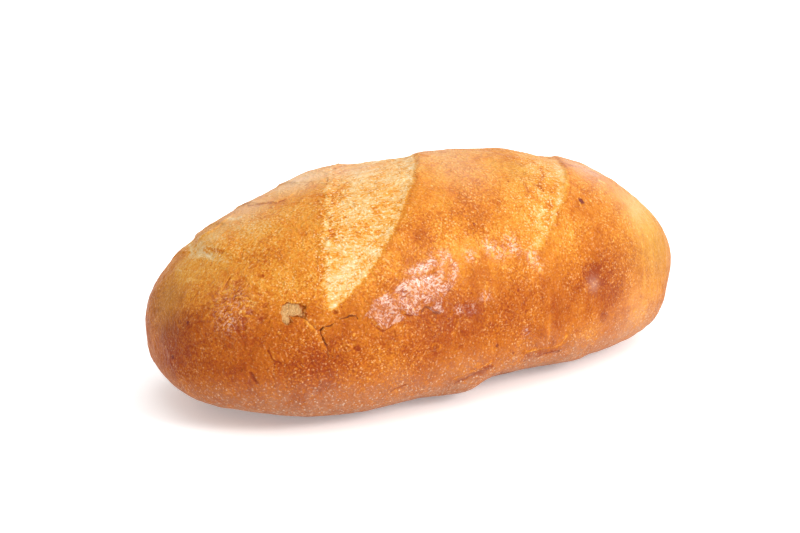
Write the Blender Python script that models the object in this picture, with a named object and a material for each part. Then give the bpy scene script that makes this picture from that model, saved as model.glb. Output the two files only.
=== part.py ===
"""Potato bread loaf: one long oval loaf, baked free on a flat hearth.

The loaf lies along X on the floor at z = 0, with the side that the first opening starts on facing -Y.
Its body is a rounded oval, taller above its widest line than below it, cut flat where it rests.
Three scored openings cross its top at a slant, each a shallow valley of stretched dough with lips of crust.
Lumps, hollows, creases, cracks and a place where a flake of crust has come away lie on top of that.

Places on the skin are given either as a point in millimetres or as (x in mm, girth in degrees).
The girth is 0 on the crest, -90 at the widest line on the front and 90 at the widest line behind.
"""

import math

import bmesh
import bpy
from mathutils import Vector, noise

MM = 0.001

# Body
LENGTH = 280 * MM
WIDTH = 138 * MM
WAIST_HEIGHT = 33.8 * MM      # the widest line's height over the floor
TOP_RISE = 71.6 * MM          # from the widest line up to the crest
UNDER_DEPTH = 34.8 * MM       # from the widest line down to the round underside, before it is cut flat
PLAN_POWER = 2.52             # 2 is an ellipse seen from above, more is squarer
PLAN_POWER_CHANGE = 0.10      # the end at +X is this much squarer, the other as much rounder
TOP_POWER = 2.04
UNDER_POWER = 3.5
WIDTH_TAPER = -0.093          # share of the width gained at +X and lost at -X
END_FULLNESS = 0.028          # share of the width by which both ends are fuller than the middle
CREST_LEAN = -4.7 * MM        # how far the crest leans towards the front

# Surface noise, as (wavelength, height)
WAVES = ((34 * MM, 0.8 * MM), (13 * MM, 0.35 * MM), (6 * MM, 0.12 * MM))

# One degree of girth along the skin, where the loaf is thickest
GIRTH_RADIUS = 68 * MM
GIRTH_STEP = math.radians(1) * GIRTH_RADIUS

# Scored openings. Tips are (x in mm, girth in degrees). Between them the middle line bows towards +X by bow,
# and swings to -X in its front half and to +X in its back half by sway. The outline is a leaf, blunt where
# bluntness is small.
OPENINGS = (
    {
        "front": (-112, -24), "back": (-92, 66), "bow": -14 * MM, "sway": 0, "half_width": 3.6 * MM,
        "bluntness": 0.8, "depth": 1.3 * MM, "lip": 1.2 * MM,
    },
    {
        "front": (-88.3, -68.5), "back": (19, 62), "bow": 1.7 * MM, "sway": 3.6 * MM, "half_width": 20.8 * MM,
        "bluntness": 0.77, "depth": 1.9 * MM, "lip": 0.7 * MM,
    },
    {
        "front": (13.3, -67.4), "back": (107, 60), "bow": 1.2 * MM, "sway": -5 * MM, "half_width": 13.5 * MM,
        "bluntness": 0.95, "depth": 1.9 * MM, "lip": 0.8 * MM,
    },
)
LIP_OUTSIDE = 6.5 * MM        # how far the lip's back slopes down onto the crust
LIP_INSIDE = 1.7 * MM         # how far its edge takes to drop into the valley
NEAR_LIP_SHARE = 0.4          # the lip on the -X side is this much of the other
FLOOR_TILT = 0.35             # share by which the valley is deeper at its +X side than at its middle
FLOOR_SQUARENESS = 4          # 2 is a round valley, more is a flat one with steep sides
RAGGED_EDGE = (9 * MM, 0.10)  # how far apart the outline's nicks are, and their share of the half width

# Lumps and, with a negative height, hollows: the place in mm, the radius and the height
LUMPS = {
    "crust_before_big_opening": ((-47, 22, 97), 15 * MM, 1.5 * MM),
    "hollow_on_left_slope": ((-102, 36, 75), 16 * MM, -1.3 * MM),
    "hollow_behind_left_slope": ((-78, 30, 87), 14 * MM, -1.0 * MM),
    "dip_at_big_opening": ((4, 14, 103), 11 * MM, -2.0 * MM),
    "dip_between_openings": ((32, 9, 103), 8 * MM, -0.8 * MM),
    "crust_after_second_opening": ((90, -7, 88), 10 * MM, 1.2 * MM),
    "hollow_on_right_slope": ((114, -22, 73), 12 * MM, -0.8 * MM),
    "left_end_shoulder": ((-131, 29, 50), 18 * MM, 0.8 * MM),
    "left_end_undercut": ((-138, 10, 20), 12 * MM, -1.0 * MM),
    "left_heel": ((-79, -45, 5), 15 * MM, 1.0 * MM),
    "hollow_left_of_heel": ((-112, -33, 9), 12 * MM, -0.8 * MM),
    "right_end_cheek": ((128, -31, 45), 14 * MM, 1.6 * MM),
    "right_end_hollow": ((126, -35, 24), 9 * MM, -1.3 * MM),
    "right_heel": ((102, -43, 10), 15 * MM, 1.0 * MM),
    "undercut_left_of_toe": ((-37, -58, 7), 20 * MM, -1.9 * MM),
    "undercut_at_toe": ((6, -55, 5), 14 * MM, -3.4 * MM),
    "undercut_right_of_toe": ((30, -53, 5), 15 * MM, -3.4 * MM),
    "toe": ((-15, -61, 9), 8 * MM, 0.9 * MM),
    "hollow_beside_toe": ((-2, -60, 11), 8 * MM, -1.0 * MM),
    "dimple": ((55.5, -61, 54), 4.5 * MM, -1.0 * MM),
    "knot_on_left_side": ((-125, -37, 53), 6 * MM, 0.6 * MM),
    "swell_on_front": ((-62, -64, 40), 22 * MM, 0.5 * MM),
}

# Creases and cracks: the points they run through in mm, half the width and the depth
CREASES = {
    "main_crack": (((-98, -54, 56), (-95, -58, 52), (-91, -61, 46), (-90, -62, 37)), 1.0 * MM, 0.9 * MM),
    "crack_at_tip": (((-92, -59, 51), (-86, -60, 52.5), (-81, -61, 54), (-76, -62, 55)), 1.0 * MM, 0.9 * MM),
    "fold_on_left_side": (((-121, -46, 35), (-119, -48, 28)), 1.5 * MM, 0.8 * MM),
    "low_seam": (((-61, -66, 19), (-54, -67, 20)), 1.2 * MM, 0.8 * MM),
    "toe_seam": (((-31, -62, 10), (-27, -66, 15), (-19, -67, 17.5), (-9, -67, 19)), 1.3 * MM, 0.9 * MM),
    "second_toe_seam": (((13, -65, 18), (24, -65, 20), (34, -65, 19), (36, -66, 24)), 1.3 * MM, 0.9 * MM),
}

# Where a flake of crust has come away: the place in mm, half its length along X, half its height, its depth
LOST_FLAKE = ((-101, -51.6, 58.7), 5.2 * MM, 3.2 * MM, 0.9 * MM)
LOST_FLAKE_EDGE = (3 * MM, 0.25, 0.35)  # its nicks' spacing and share of its size, and its wall's share

# Mesh
CUTS = 128                    # rows of faces on each side of the rounded cube that the loaf is shaped from
TRIANGLES = 11300             # kept after the flat stretches are thinned out


def smooth_step(value):
    """0 below 0, 1 above 1 and a smooth rise between them."""
    value = min(max(value, 0.0), 1.0)
    return value * value * (3 - 2 * value)


def body_point(direction):
    """The point of the smooth body in the given direction from the middle of its widest line."""
    x, y, z = direction
    reach = TOP_RISE if z >= 0 else UNDER_DEPTH
    height_power = TOP_POWER if z >= 0 else UNDER_POWER
    plan_power = PLAN_POWER + PLAN_POWER_CHANGE * math.tanh(3 * x)
    plan = abs(x) ** plan_power + abs(y) ** plan_power
    stretch = (plan ** (height_power / plan_power) + abs(z) ** height_power) ** (-1 / height_power)
    along = x * stretch
    across = y * stretch * WIDTH / 2
    across *= 1 + WIDTH_TAPER * along + END_FULLNESS * (along * along - 0.3)
    rise = z * stretch
    if rise > 0:
        across += CREST_LEAN * rise * rise
    return Vector((along * LENGTH / 2, across, WAIST_HEIGHT + rise * reach))


def girth_of(point):
    """How far round the loaf a point lies, in degrees from the crest, negative on the front."""
    return math.degrees(math.atan2(point.y, point.z - WAIST_HEIGHT))


def opening_height(point, opening):
    """The height that one scored opening adds to the skin at a point: its valley and its two lips."""
    tip_x, tip_girth = opening["front"]
    end_x, end_girth = opening["back"]
    run = Vector(((end_x - tip_x) * MM, (end_girth - tip_girth) * GIRTH_STEP))
    here = Vector((point.x - tip_x * MM, (girth_of(point) - tip_girth) * GIRTH_STEP))
    share = 2 * here.dot(run) / run.length_squared - 1
    if abs(share) >= 1:
        return 0.0
    taper = 1 - share * share
    fade = math.sqrt(taper)
    across = (here.x * run.y - here.y * run.x) / run.length
    across -= (opening["bow"] + opening["sway"] * share) * taper
    spacing, nick = RAGGED_EDGE
    edge = opening["half_width"] * taper ** opening["bluntness"] * (1 + nick * noise.noise(point / spacing))
    height = 0.0
    if abs(across) < edge:
        inside = across / edge
        floor = (1 - inside ** FLOOR_SQUARENESS) * (1 + FLOOR_TILT * (inside - 1))
        height -= opening["depth"] * fade * floor
    for side, share_of_lip in ((1, 1), (-1, NEAR_LIP_SHARE)):
        beyond = side * across - edge
        spread = LIP_OUTSIDE if beyond > 0 else LIP_INSIDE
        height += opening["lip"] * share_of_lip * fade * math.exp(-((beyond / spread) ** 2))
    return height


def lump_height(point, place, radius, height):
    """A round lump or hollow that fades out over its radius."""
    gap = (point - Vector(place) * MM).length / radius
    return height * math.exp(-gap * gap)


def distance_to_path(point, path):
    """The distance from a point to the nearest stretch of a path."""
    nearest = math.inf
    for start, end in zip(path, path[1:]):
        run = end - start
        share = min(max((point - start).dot(run) / run.length_squared, 0.0), 1.0)
        nearest = min(nearest, (point - start - run * share).length)
    return nearest


def crease_height(point, path, half_width, depth):
    """A groove along a path."""
    gap = distance_to_path(point, [Vector(place) * MM for place in path]) / half_width
    return -depth * math.exp(-gap * gap)


def lost_flake_height(point):
    """The flat-bottomed pit that a lost flake of crust leaves."""
    place, half_length, half_height, depth = LOST_FLAKE
    offset = point - Vector(place) * MM
    if offset.length > 2 * half_length:
        return 0.0
    spacing, nick, wall = LOST_FLAKE_EDGE
    reach = math.hypot(offset.x / half_length, offset.z / half_height) + nick * noise.noise(point / spacing)
    return -depth * (1 - smooth_step((reach - 1) / wall + 0.5))


def relief(point):
    """How far the skin stands out from the smooth body at a point of it."""
    height = sum(tall * noise.noise(point / long) for long, tall in WAVES)
    height += sum(opening_height(point, opening) for opening in OPENINGS)
    height += sum(lump_height(point, *lump) for lump in LUMPS.values())
    height += sum(crease_height(point, *crease) for crease in CREASES.values())
    return height + lost_flake_height(point)


def rounded_cube():
    """A cube of six even grids whose points are pushed out onto a ball of radius 1."""
    mesh = bmesh.new()
    bmesh.ops.create_cube(mesh, size=2)
    bmesh.ops.subdivide_edges(mesh, edges=mesh.edges, cuts=CUTS - 1, use_grid_fill=True)
    for vert in mesh.verts:
        vert.co = Vector([math.tan(math.pi / 4 * side) for side in vert.co]).normalized()
    return mesh


def shape_skin(mesh):
    """Turns the ball into the loaf's body, and raises the relief along its normals."""
    for vert in mesh.verts:
        vert.co = body_point(vert.co)
    mesh.normal_update()
    heights = [relief(vert.co) for vert in mesh.verts]
    for vert, height in zip(mesh.verts, heights):
        vert.co += vert.normal * height


def thin_out(loaf, triangles):
    """Collapses edges where the skin is flat, until that many triangles are left."""
    decimate = loaf.modifiers.new("thin_out", "DECIMATE")
    decimate.ratio = triangles / (2 * len(loaf.data.polygons))
    graph = bpy.context.evaluated_depsgraph_get()
    thinned = bpy.data.meshes.new_from_object(loaf.evaluated_get(graph))
    loaf.modifiers.remove(decimate)
    dense, loaf.data = loaf.data, thinned
    bpy.data.meshes.remove(dense)


def cut_base(mesh):
    """Cuts off what lies below the floor, and closes the cut with one flat face to rest on."""
    everything = mesh.verts[:] + mesh.edges[:] + mesh.faces[:]
    cut = bmesh.ops.bisect_plane(
        mesh, geom=everything, dist=1e-6, plane_co=(0, 0, 0), plane_no=(0, 0, -1), clear_outer=True
    )
    rim = [item for item in cut["geom_cut"] if isinstance(item, bmesh.types.BMEdge)]
    bmesh.ops.contextual_create(mesh, geom=rim)
    for vert in {vert for edge in rim for vert in edge.verts}:
        vert.co.z = 0
    bmesh.ops.recalc_face_normals(mesh, faces=mesh.faces)


def centre_over_origin(mesh):
    """Moves the loaf sideways so that the middle of its outline from above is over the origin."""
    for axis in (0, 1):
        places = [vert.co[axis] for vert in mesh.verts]
        middle = (min(places) + max(places)) / 2
        for vert in mesh.verts:
            vert.co[axis] -= middle


def crust_material():
    """Golden brown crust with a satin shine."""
    material = bpy.data.materials.new("golden_crust")
    material.use_nodes = True
    shader = material.node_tree.nodes["Principled BSDF"]
    shader.inputs["Base Color"].default_value = (0.60, 0.24, 0.06, 1)
    shader.inputs["Roughness"].default_value = 0.45
    shader.inputs["Metallic"].default_value = 0
    return material


def build_loaf():
    """Makes the loaf as one object with one closed skin."""
    mesh = rounded_cube()
    shape_skin(mesh)
    data = bpy.data.meshes.new("loaf")
    mesh.to_mesh(data)
    mesh.free()
    loaf = bpy.data.objects.new("loaf", data)
    bpy.context.scene.collection.objects.link(loaf)
    thin_out(loaf, TRIANGLES)
    mesh = bmesh.new()
    mesh.from_mesh(loaf.data)
    cut_base(mesh)
    centre_over_origin(mesh)
    mesh.to_mesh(loaf.data)
    mesh.free()
    loaf.data.materials.append(crust_material())
    loaf.data.shade_smooth()
    return loaf


def main():
    for thing in list(bpy.data.objects):
        bpy.data.objects.remove(thing)
    build_loaf()


main()
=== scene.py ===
"""Potato bread loaf: its browned skin and procedural crust, the floor, the lights and the camera.

The skin is made from a copy of the CAD loaf. Lengths in the tables are in millimetres, in the loaf's frame.
The front of the loaf faces -Y, X runs along it and the floor is at z = 0.
"""

import math
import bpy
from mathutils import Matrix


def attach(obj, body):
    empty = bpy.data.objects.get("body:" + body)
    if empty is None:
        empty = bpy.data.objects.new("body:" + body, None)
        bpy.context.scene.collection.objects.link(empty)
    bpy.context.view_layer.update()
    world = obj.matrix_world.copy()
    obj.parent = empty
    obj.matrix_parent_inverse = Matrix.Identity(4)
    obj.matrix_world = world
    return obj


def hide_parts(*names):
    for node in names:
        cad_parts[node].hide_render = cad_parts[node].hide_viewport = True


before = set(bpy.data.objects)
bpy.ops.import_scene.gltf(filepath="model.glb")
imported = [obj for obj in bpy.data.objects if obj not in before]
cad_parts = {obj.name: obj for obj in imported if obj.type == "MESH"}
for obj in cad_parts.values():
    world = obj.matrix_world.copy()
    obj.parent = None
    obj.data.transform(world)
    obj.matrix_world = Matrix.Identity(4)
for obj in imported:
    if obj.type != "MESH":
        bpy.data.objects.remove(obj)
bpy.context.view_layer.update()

import bpy
import numpy as np
from mathutils import Vector, noise

bl_info = {
    "name": "Potato Bread Loaf",
    "version": (1, 0, 0),
    "blender": (4, 5, 0),
    "location": "View3D > Sidebar > Loaf",
    "description": "Builds the crust of a potato bread loaf over its CAD solid, and a plain studio",
    "category": "Object",
}

MM = 0.001

# The widest line's height, and one degree of girth along the skin
WAIST = 33.8
GIRTH_STEP = math.radians(1) * 68

# The scored openings, by their tips as (x, girth in degrees), as in the CAD source. Then how much of the
# left border is torn up, how softly that border starts, how far in the tone takes to change, and how much
# paler the torn border is
OPENINGS = {
    "left": {
        "front": (-112, -24), "back": (-92, 66), "bow": -14, "sway": 0, "half_width": 3.6, "bluntness": 0.8,
        "torn": 0.3, "softness": 1.0, "tone_run": 3, "torn_tone": 0.05,
    },
    "big": {
        "front": (-88.3, -68.5), "back": (19, 62), "bow": 1.7, "sway": 3.6, "half_width": 20.8,
        "bluntness": 0.77, "torn": 1.0, "softness": 3.2, "tone_run": 12, "torn_tone": 0.12,
    },
    "second": {
        "front": (13.3, -67.4), "back": (107, 60), "bow": 1.2, "sway": -5, "half_width": 13.5,
        "bluntness": 0.95, "torn": 0.35, "softness": 4.0, "tone_run": 9, "torn_tone": 0.0,
    },
}

# Cracks and folds: their points as (x, girth), half the width, the depth and how dark they look
# The darkness is painted shade in the cracks, and painted shadow under the folds, the seams and the shiny
# skin's edge
CRACKS = {
    "main_crack": (
        ((-92.1, -74.5), (-91.7, -76.6), (-90.7, -79.2), (-89.8, -81.7), (-89.8, -86.8)),
        0.18, 0.4, 0.50,
    ),
    "upper_crack": (((-97.8, -67.6), (-95.6, -70.6), (-93.6, -73.5), (-92.1, -74.5)), 0.20, 0.5, 0.45),
    "tip_crack": (
        (
            (-92.1, -74.5), (-90.1, -73.2), (-87.6, -73.2), (-85.8, -72.4), (-85.0, -70.9), (-80.4, -71.3),
            (-78.7, -70.8), (-76.0, -71.3), (-75.7, -72.8),
        ),
        0.27, 0.7, 0.8,
    ),
    "main_crack_gap": (((-91.7, -76.3), (-90.9, -78.6), (-90.2, -80.8)), 0.30, 0.6, 0.65),
    "tip_crack_gap": (((-91.9, -74.3), (-90.4, -73.4)), 0.42, 1.0, 0.75),
    "tip_pit": (((-85.3, -67.6), (-84.6, -68.6)), 0.7, 0.7, 0.42),
    "left_crack": (((-113.1, -79.6), (-112.2, -82.6), (-111.3, -85.1), (-108.0, -86.3)), 0.2, 0.3, 0.3),
    "left_crack_down": (((-110.9, -86.1), (-111.4, -89.5), (-111.8, -93.5)), 0.2, 0.3, 0.3),
    "left_fold": (((-119.5, -91.1), (-118.6, -94.3), (-117.4, -97.2)), 0.5, 0.5, 0.3),
    "left_crease": (((-116.8, -34.7), (-119.8, -38.4), (-121.9, -40.7)), 0.3, 0.3, 0.2),
    "second_left_crease": (((-123.0, -46.4), (-120.3, -48.5), (-117.2, -48.2)), 0.6, 0.5, 0.35),
    "shadow_under_flap": (((-116.0, 5.0), (-116.2, -1.9), (-115.1, -10.1), (-113.6, -15.0)), 0.45, 0.4, 0.33),
    "shadow_under_upper_fold": (((-88.6, 13.8), (-85.2, 5.4), (-82.1, -1.4), (-78.3, -3.8)), 0.3, 0.3, 0.2),
    "low_seam": (((-60.8, -103.2), (-58.0, -102.3), (-54.2, -101.5)), 0.6, 0.8, 0.35),
    "toe_seam": (((-27, -106.3), (-19.5, -103.6), (-9.1, -102.5)), 0.5, 0.5, 0.2),
    "second_toe_seam": (((12.9, -104.5), (24.5, -102.9), (33.8, -103.9)), 0.5, 0.5, 0.2),
    "under_shiny_skin": (
        ((-45.4, -74.2), (-43.6, -72.9), (-41.4, -73.2), (-39.7, -75.2), (-36.5, -76.2)),
        0.38, 0.5, 0.55,
    ),
    "shadow_under_left_lobe": (((-69.7, -75.2), (-66.4, -78.0), (-64.2, -78.7), (-61.1, -77.4)), 0.4, 0.3, 0.25),
    "shadow_under_middle_lobe": (((-55.0, -74.0), (-52.3, -74.5), (-48.9, -75.0)), 0.35, 0.3, 0.3),
}

# Overlapping sheets of crust: the points of each edge as (x, girth), how far it stands up, with a minus
# sign where its raised side is the right one instead of the left one, and how far behind it sinks back
PLATES = {
    "flap": (((-117.0, 6.0), (-116.4, 0.3), (-115.7, -7.6), (-114.3, -13.0), (-111.7, -17.0)), 0.9, 7),
    "upper_plate": (
        ((-91.0, 17.0), (-87.6, 12.8), (-85.2, 5.4), (-82.1, -1.4), (-78.3, -3.8), (-70.2, -0.5)),
        0.6, 8,
    ),
    "ridge_plate": (
        (
            (-116.0, 20.0), (-113.0, 16.8), (-110.3, 14.2), (-106.4, 13.2), (-102.7, 13.0), (-98.8, 12.2),
            (-95.0, 16.0),
        ),
        0.7, 6,
    ),
    "left_band": (
        ((-121.0, 9.0), (-119.8, 2.0), (-118.0, -6.0), (-115.5, -13.0), (-113.0, -18.0)),
        0.45, 4,
    ),
    "wrinkle_border": (((-130.4, -53.0), (-127.1, -47.1), (-123.1, -45.4), (-117.7, -49.9)), -0.5, 6),
    "low_scale": (((-54.1, -102.0), (-54.1, -96.7), (-49.4, -96.6)), -0.4, 5),
    "low_boundary": (((26.5, -78.0), (25.1, -86.1), (24.1, -92.2), (25.9, -98.9)), -0.5, 7),
    "left_scale": (
        ((-113.1, -79.6), (-112.2, -82.6), (-111.3, -85.1), (-108.0, -86.3), (-104.0, -87.0)),
        0.4, 5,
    ),
    "crest_step": (((-12, 8), (-8, 0), (-3, -6), (3, -8)), 0.5, 7),
    "top_left_step": (((-66, 12), (-62, 3), (-57, -4), (-50, -6)), 0.5, 7),
    "first_outline_step": (((-120.0, 46), (-118.9, 31), (-118.0, 20)), 0.7, 6),
    "third_outline_step": (((-104.5, 34), (-102.9, 22), (-102.5, 8)), 0.9, 6),
    "fourth_outline_step": (((-87.5, 32), (-86.2, 20), (-86.0, 10)), 0.9, 6),
    "fifth_outline_step": (((-66.0, 26), (-64.9, 14), (-65.5, 4)), 0.7, 5),
    "toe_lip": (
        ((10.0, -99.0), (14.0, -99.6), (20.0, -99.4), (26.0, -100.4), (33.0, -100.6), (37.0, -97.5)),
        1.1, 5,
    ),
    "left_toe_lip": (((-30.0, -104.0), (-22.0, -101.6), (-14.0, -100.8), (-7.0, -99.2)), 0.7, 4),
    "back_step": (((-30, 52), (-18, 47), (-4, 50), (8, 46)), 0.6, 8),
    "back_right_step": (((70, 44), (82, 50), (92, 60)), -0.5, 8),
}

# Pale and brown lines on the crust: their points as (x, girth), half the width, and the browning they add
# Some brown lines are painted shadow under edges, and some pale ones are painted highlight of glints
MARKS = {
    "top_of_left_fold": (((-114.0, 30.7), (-117.9, 17.3), (-121.3, 10.5)), 0.7, -0.24),
    "left_fold_line": (((-119.7, 5.9), (-117.6, -1.6), (-117.4, -14.0), (-114.7, -20.5)), 0.6, -0.20),
    "left_ridge": (((-116.9, 14.0), (-114.8, 16.2), (-114.7, 11.5), (-113.9, 9.3)), 0.7, -0.20),
    "fleck_on_left_ridge": (((-99.1, 12.5), (-99.0, 7.3), (-96.9, 4.9)), 0.9, -0.45),
    "brown_line_on_flap": (((-108.1, -1.8), (-107.4, -9.6)), 0.5, 0.22),
    # Painted shadow under the edge of the upper plate
    "shadow_under_ridge": (((-88.6, 12.0), (-85.8, 4.2), (-82.7, -2.4), (-78.6, -3.3)), 0.5, 0.20),
    "pale_band_at_left": (((-123.5, 25.8), (-126.4, 15.6), (-128.8, 5.4)), 1.4, -0.16),
    "pale_row_at_left": (((-127.6, -3.9), (-125.4, -20.6), (-123.7, -23.7)), 0.7, -0.22),
    "crumbs_in_second_opening": (((32.2, -45.0), (29.0, -48.5), (27.9, -53.3), (24.8, -57.7)), 2.4, -0.17),
    "crumb_at_right_rim": (((39.8, -44.7), (39.4, -47.1), (36.6, -49.8)), 1.2, -0.22),
    "brown_beside_crumb": (((41.2, -46.5), (40.0, -49.2)), 0.5, 0.42),
    "streak_in_second_opening": (((50.5, -21.6), (46.3, -27.8), (40.1, -32.7), (39.1, -35.7)), 0.7, 0.30),
    "pit_in_second_opening": (((30.3, -32.9), (29.6, -35.4)), 0.7, 0.30),
    "pit_by_streak": (((36.4, -32.6), (39.3, -33.8)), 0.7, 0.25),
    "pale_right_rim": (
        (
            (68.4, -8.3), (65.4, -15.9), (62.6, -21.2), (58.5, -28.4), (54.6, -34.1), (49.6, -38.7),
            (44.0, -42.8),
        ),
        2.4, -0.20,
    ),
    "brown_right_rim": (
        ((69.5, -14.0), (66.4, -21.2), (62.6, -28.4), (58.8, -34.0), (53.4, -39.2), (48.2, -43.2)),
        0.8, 0.16,
    ),
    # Painted highlight: pale glints over the shiny flecks below the second opening's tip
    "highlight_below_second_tip": (((18.9, -59.6), (17.4, -62.1), (17.3, -64.0)), 0.7, -0.40),
    "highlight_lobe_below_second_tip": (((19.7, -63.6), (21.9, -66.2), (22.6, -69.0)), 1.5, -0.22),
    "cream_spot_on_right": (((82.8, -29.9), (85.1, -30.9)), 0.9, -0.50),
    # Painted highlight: a pale upright glint over the upright shiny streaks
    "upright_highlight": (((-9.4, -69.0), (-10.6, -71.8), (-11.7, -74.7), (-11.5, -77.0)), 0.6, -0.32),
    "torn_ridge": (
        (
            (-61.6, -10.6), (-67.2, -21.2), (-73.2, -29.6), (-78.5, -38.8), (-82.6, -48.3), (-85.3, -57.3),
            (-86.6, -63.1),
        ),
        1.3, -0.14,
    ),
    "pale_below_tip": (((-86.1, -61.6), (-86.7, -65.5), (-87.4, -70.1)), 3.0, -0.15),
    "pale_right_of_tip": (((-84.5, -66.5), (-80.5, -67.5)), 2.0, -0.09),
    "streak_at_crest": (((-48.7, 3.2), (-45.8, 1.9)), 0.6, 0.30),
    "second_streak_at_crest": (((-36.5, 3.6), (-35.1, -2.8), (-26.4, 0.1)), 1.3, 0.16),
    "hairline": (((-30.7, -84.7), (-26.7, -80.8), (-24.9, -79.2), (-19.7, -82.2)), 0.4, -0.20),
    "second_hairline": (((-33.9, -85.8), (-29.1, -85.0)), 0.4, -0.20),
    "ripple_under_tip": (
        (
            (-86.5, -81.7), (-84.5, -80.0), (-81.8, -79.6), (-78.9, -80.8), (-77.3, -83.0), (-79.3, -84.7),
            (-82.8, -85.0), (-85.3, -83.5), (-86.5, -81.7),
        ),
        0.4, -0.20,
    ),
    "inner_ripple": (
        ((-84.3, -82.0), (-82.5, -81.1), (-80.3, -81.8), (-79.6, -83.1), (-81.8, -83.5)),
        0.4, -0.20,
    ),
    "ring_in_middle": (
        ((-41.4, -87.7), (-39.8, -86.8), (-37.2, -87.6), (-36.7, -89.2), (-38.8, -89.6)),
        0.4, -0.25,
    ),
    "ring_left_of_tip": (((-91.5, -52.3), (-89.4, -51.2), (-88.3, -52.9), (-89.4, -54.7)), 0.4, -0.18),
    "left_wrinkle": (
        ((-130.4, -53.0), (-127.1, -47.1), (-123.1, -45.4), (-117.7, -49.9), (-114.4, -54.0)),
        0.5, -0.20,
    ),
    "second_left_wrinkle": (
        ((-129.2, -59.3), (-125.7, -53.7), (-121.4, -53.1), (-117.1, -56.0)),
        0.4, -0.18,
    ),
    "third_left_wrinkle": (
        ((-122.2, -50.3), (-119.5, -57.0), (-117.1, -62.6), (-115.1, -67.5)),
        0.4, -0.18,
    ),
    "fourth_left_wrinkle": (((-118.9, -51.6), (-115.8, -56.7), (-112.9, -63.2)), 0.4, -0.18),
    "fifth_left_wrinkle": (((-119.4, -63.9), (-113.2, -65.1), (-107.2, -67.8)), 0.5, -0.15),
    "lip_of_main_crack": (
        ((-97.8, -68.9), (-95.9, -71.5), (-94.2, -74.6), (-92.6, -78.2), (-91.4, -81.9)),
        0.5, -0.24,
    ),
    "edge_of_toe": (((12.5, -99.5), (20, -99.3), (26, -100.3), (34, -100.4), (36.5, -97.0)), 0.7, -0.28),
    # Painted shadow under the toe's lip
    "shadow_under_edge_of_toe": (((12.5, -102.0), (20.0, -101.8), (26.0, -102.8), (34.0, -103.0)), 1.3, 0.20),
    "pale_line_at_toe": (((-28.5, -103.5), (-22, -101.6), (-14, -100.8), (-8, -99.6)), 0.6, -0.22),
    # Painted shadow under the left lip of the toe, and in its notch
    "shadow_under_left_edge": (((-26.0, -105.0), (-19.0, -103.6), (-10.0, -103.0)), 1.2, 0.18),
    "shadow_in_notch_at_toe": (((-12.0, -101.5), (-7.5, -101.7)), 0.8, 0.40),
    # Painted highlight: pale streaks of glints over the shiny flecks right of the shiny skin
    "highlight_above_bright_fleck": (((-9.2, -49.6), (-7.9, -52.8), (-6.7, -55.5)), 0.5, -0.22),
    "highlight_in_bright_fleck": (((-4.0, -54.3), (-3.4, -57.0), (-2.7, -59.4)), 0.6, -0.30),
    "slanting_highlight": (((7.4, -50.0), (8.6, -53.6), (10.4, -57.6)), 0.5, -0.28),
    "low_slanting_highlight": (((0.2, -56.4), (2.7, -58.6), (7.1, -60.6)), 0.5, -0.22),
    "highlight_beside_shiny_skin": (((-16.8, -55.5), (-14.1, -57.3), (-10.7, -58.8)), 0.5, -0.22),
    "rim_of_right_lip": (
        ((66.0, -18.5), (70.0, -19.0), (77.7, -18.6), (84.0, -20.0), (90.0, -23.0)),
        2.0, 0.22,
    ),
    "ring_in_second_opening": (((37.1, -44.1), (32.7, -46.3), (32.3, -49.5), (35.0, -50.8)), 0.6, -0.20),
    "rim_of_hole": (((57.4, -43.2), (57.8, -45.0)), 0.4, -0.32),
    "ridge_at_low_boundary": (((25.2, -79.9), (25.6, -88.2), (24.3, -98.5)), 0.7, -0.14),
    "right_of_low_boundary": (((29.0, -79.9), (29.4, -88.2), (28.3, -98.5)), 2.6, 0.08),
    "top_of_red_hollow": (
        ((48.6, -72.6), (49.2, -70.2), (52.2, -69.6), (57.0, -69.4), (59.7, -71.0)),
        1.2, 0.22,
    ),
    "stretch_mark": (((95.5, -58.2), (93.6, -72.5), (92.2, -93.0)), 1.2, -0.12),
    "second_stretch_mark": (((103.1, -62.8), (101.3, -79.0), (99.1, -97.9)), 1.2, -0.10),
    "third_stretch_mark": (((83.2, -61.7), (82.6, -75.8), (82.6, -92.9)), 1.4, -0.08),
}

# Lines along the bottom that carry less flour: their points as (x, girth), half the width, and the change
BARE_LINES = {
    "edge_of_toe": (
        ((11.0, -99.3), (20.0, -99.3), (26.0, -100.3), (34.0, -100.4), (36.5, -97.0)),
        1.1, -0.55,
    ),
    # Less flour under the toe's lips and in the notch, where the painted shadow shows
    "shadow_under_edge_of_toe": (((12.5, -102.0), (20.0, -101.8), (26.0, -102.8), (34.0, -103.0)), 1.4, -0.40),
    "left_edge": (((-30.0, -104.0), (-22.0, -101.6), (-14.0, -100.8), (-7.0, -99.2)), 1.1, -0.50),
    "shadow_under_left_edge": (((-26.0, -105.0), (-19.0, -103.6), (-10.0, -103.0)), 1.3, -0.35),
    "shadow_in_notch_at_toe": (((-12.0, -101.5), (-7.5, -101.7)), 1.0, -0.50),
}

# Round blisters with ripples: the middle as (x, girth), half the length, half the height, and how tall
RIPPLES = {
    "ripples_under_tip": ((-82.4, -82.8), 3.7, 2.3, 0.3),
    "ring_in_middle": ((-39.3, -88.4), 1.7, 1.3, 0.25),
    "ring_left_of_tip": ((-90.0, -52.8), 1.9, 1.7, 0.25),
    "pale_blister": ((-122.5, -90.4), 1.6, 1.4, 0.35),
}

# Where a flake of crust has come away: its place, half its length along X, half its height, and its depth.
# Its tongue reaches down at the left: its middle from that place, along X and up, and its two radii
LOST_FLAKE = ((-101.0, -51.4, 58.9), 4.7, 2.8, 0.9)
FLAKE_TONGUE = ((-3.2, -3.6), (1.9, 2.0))

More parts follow.
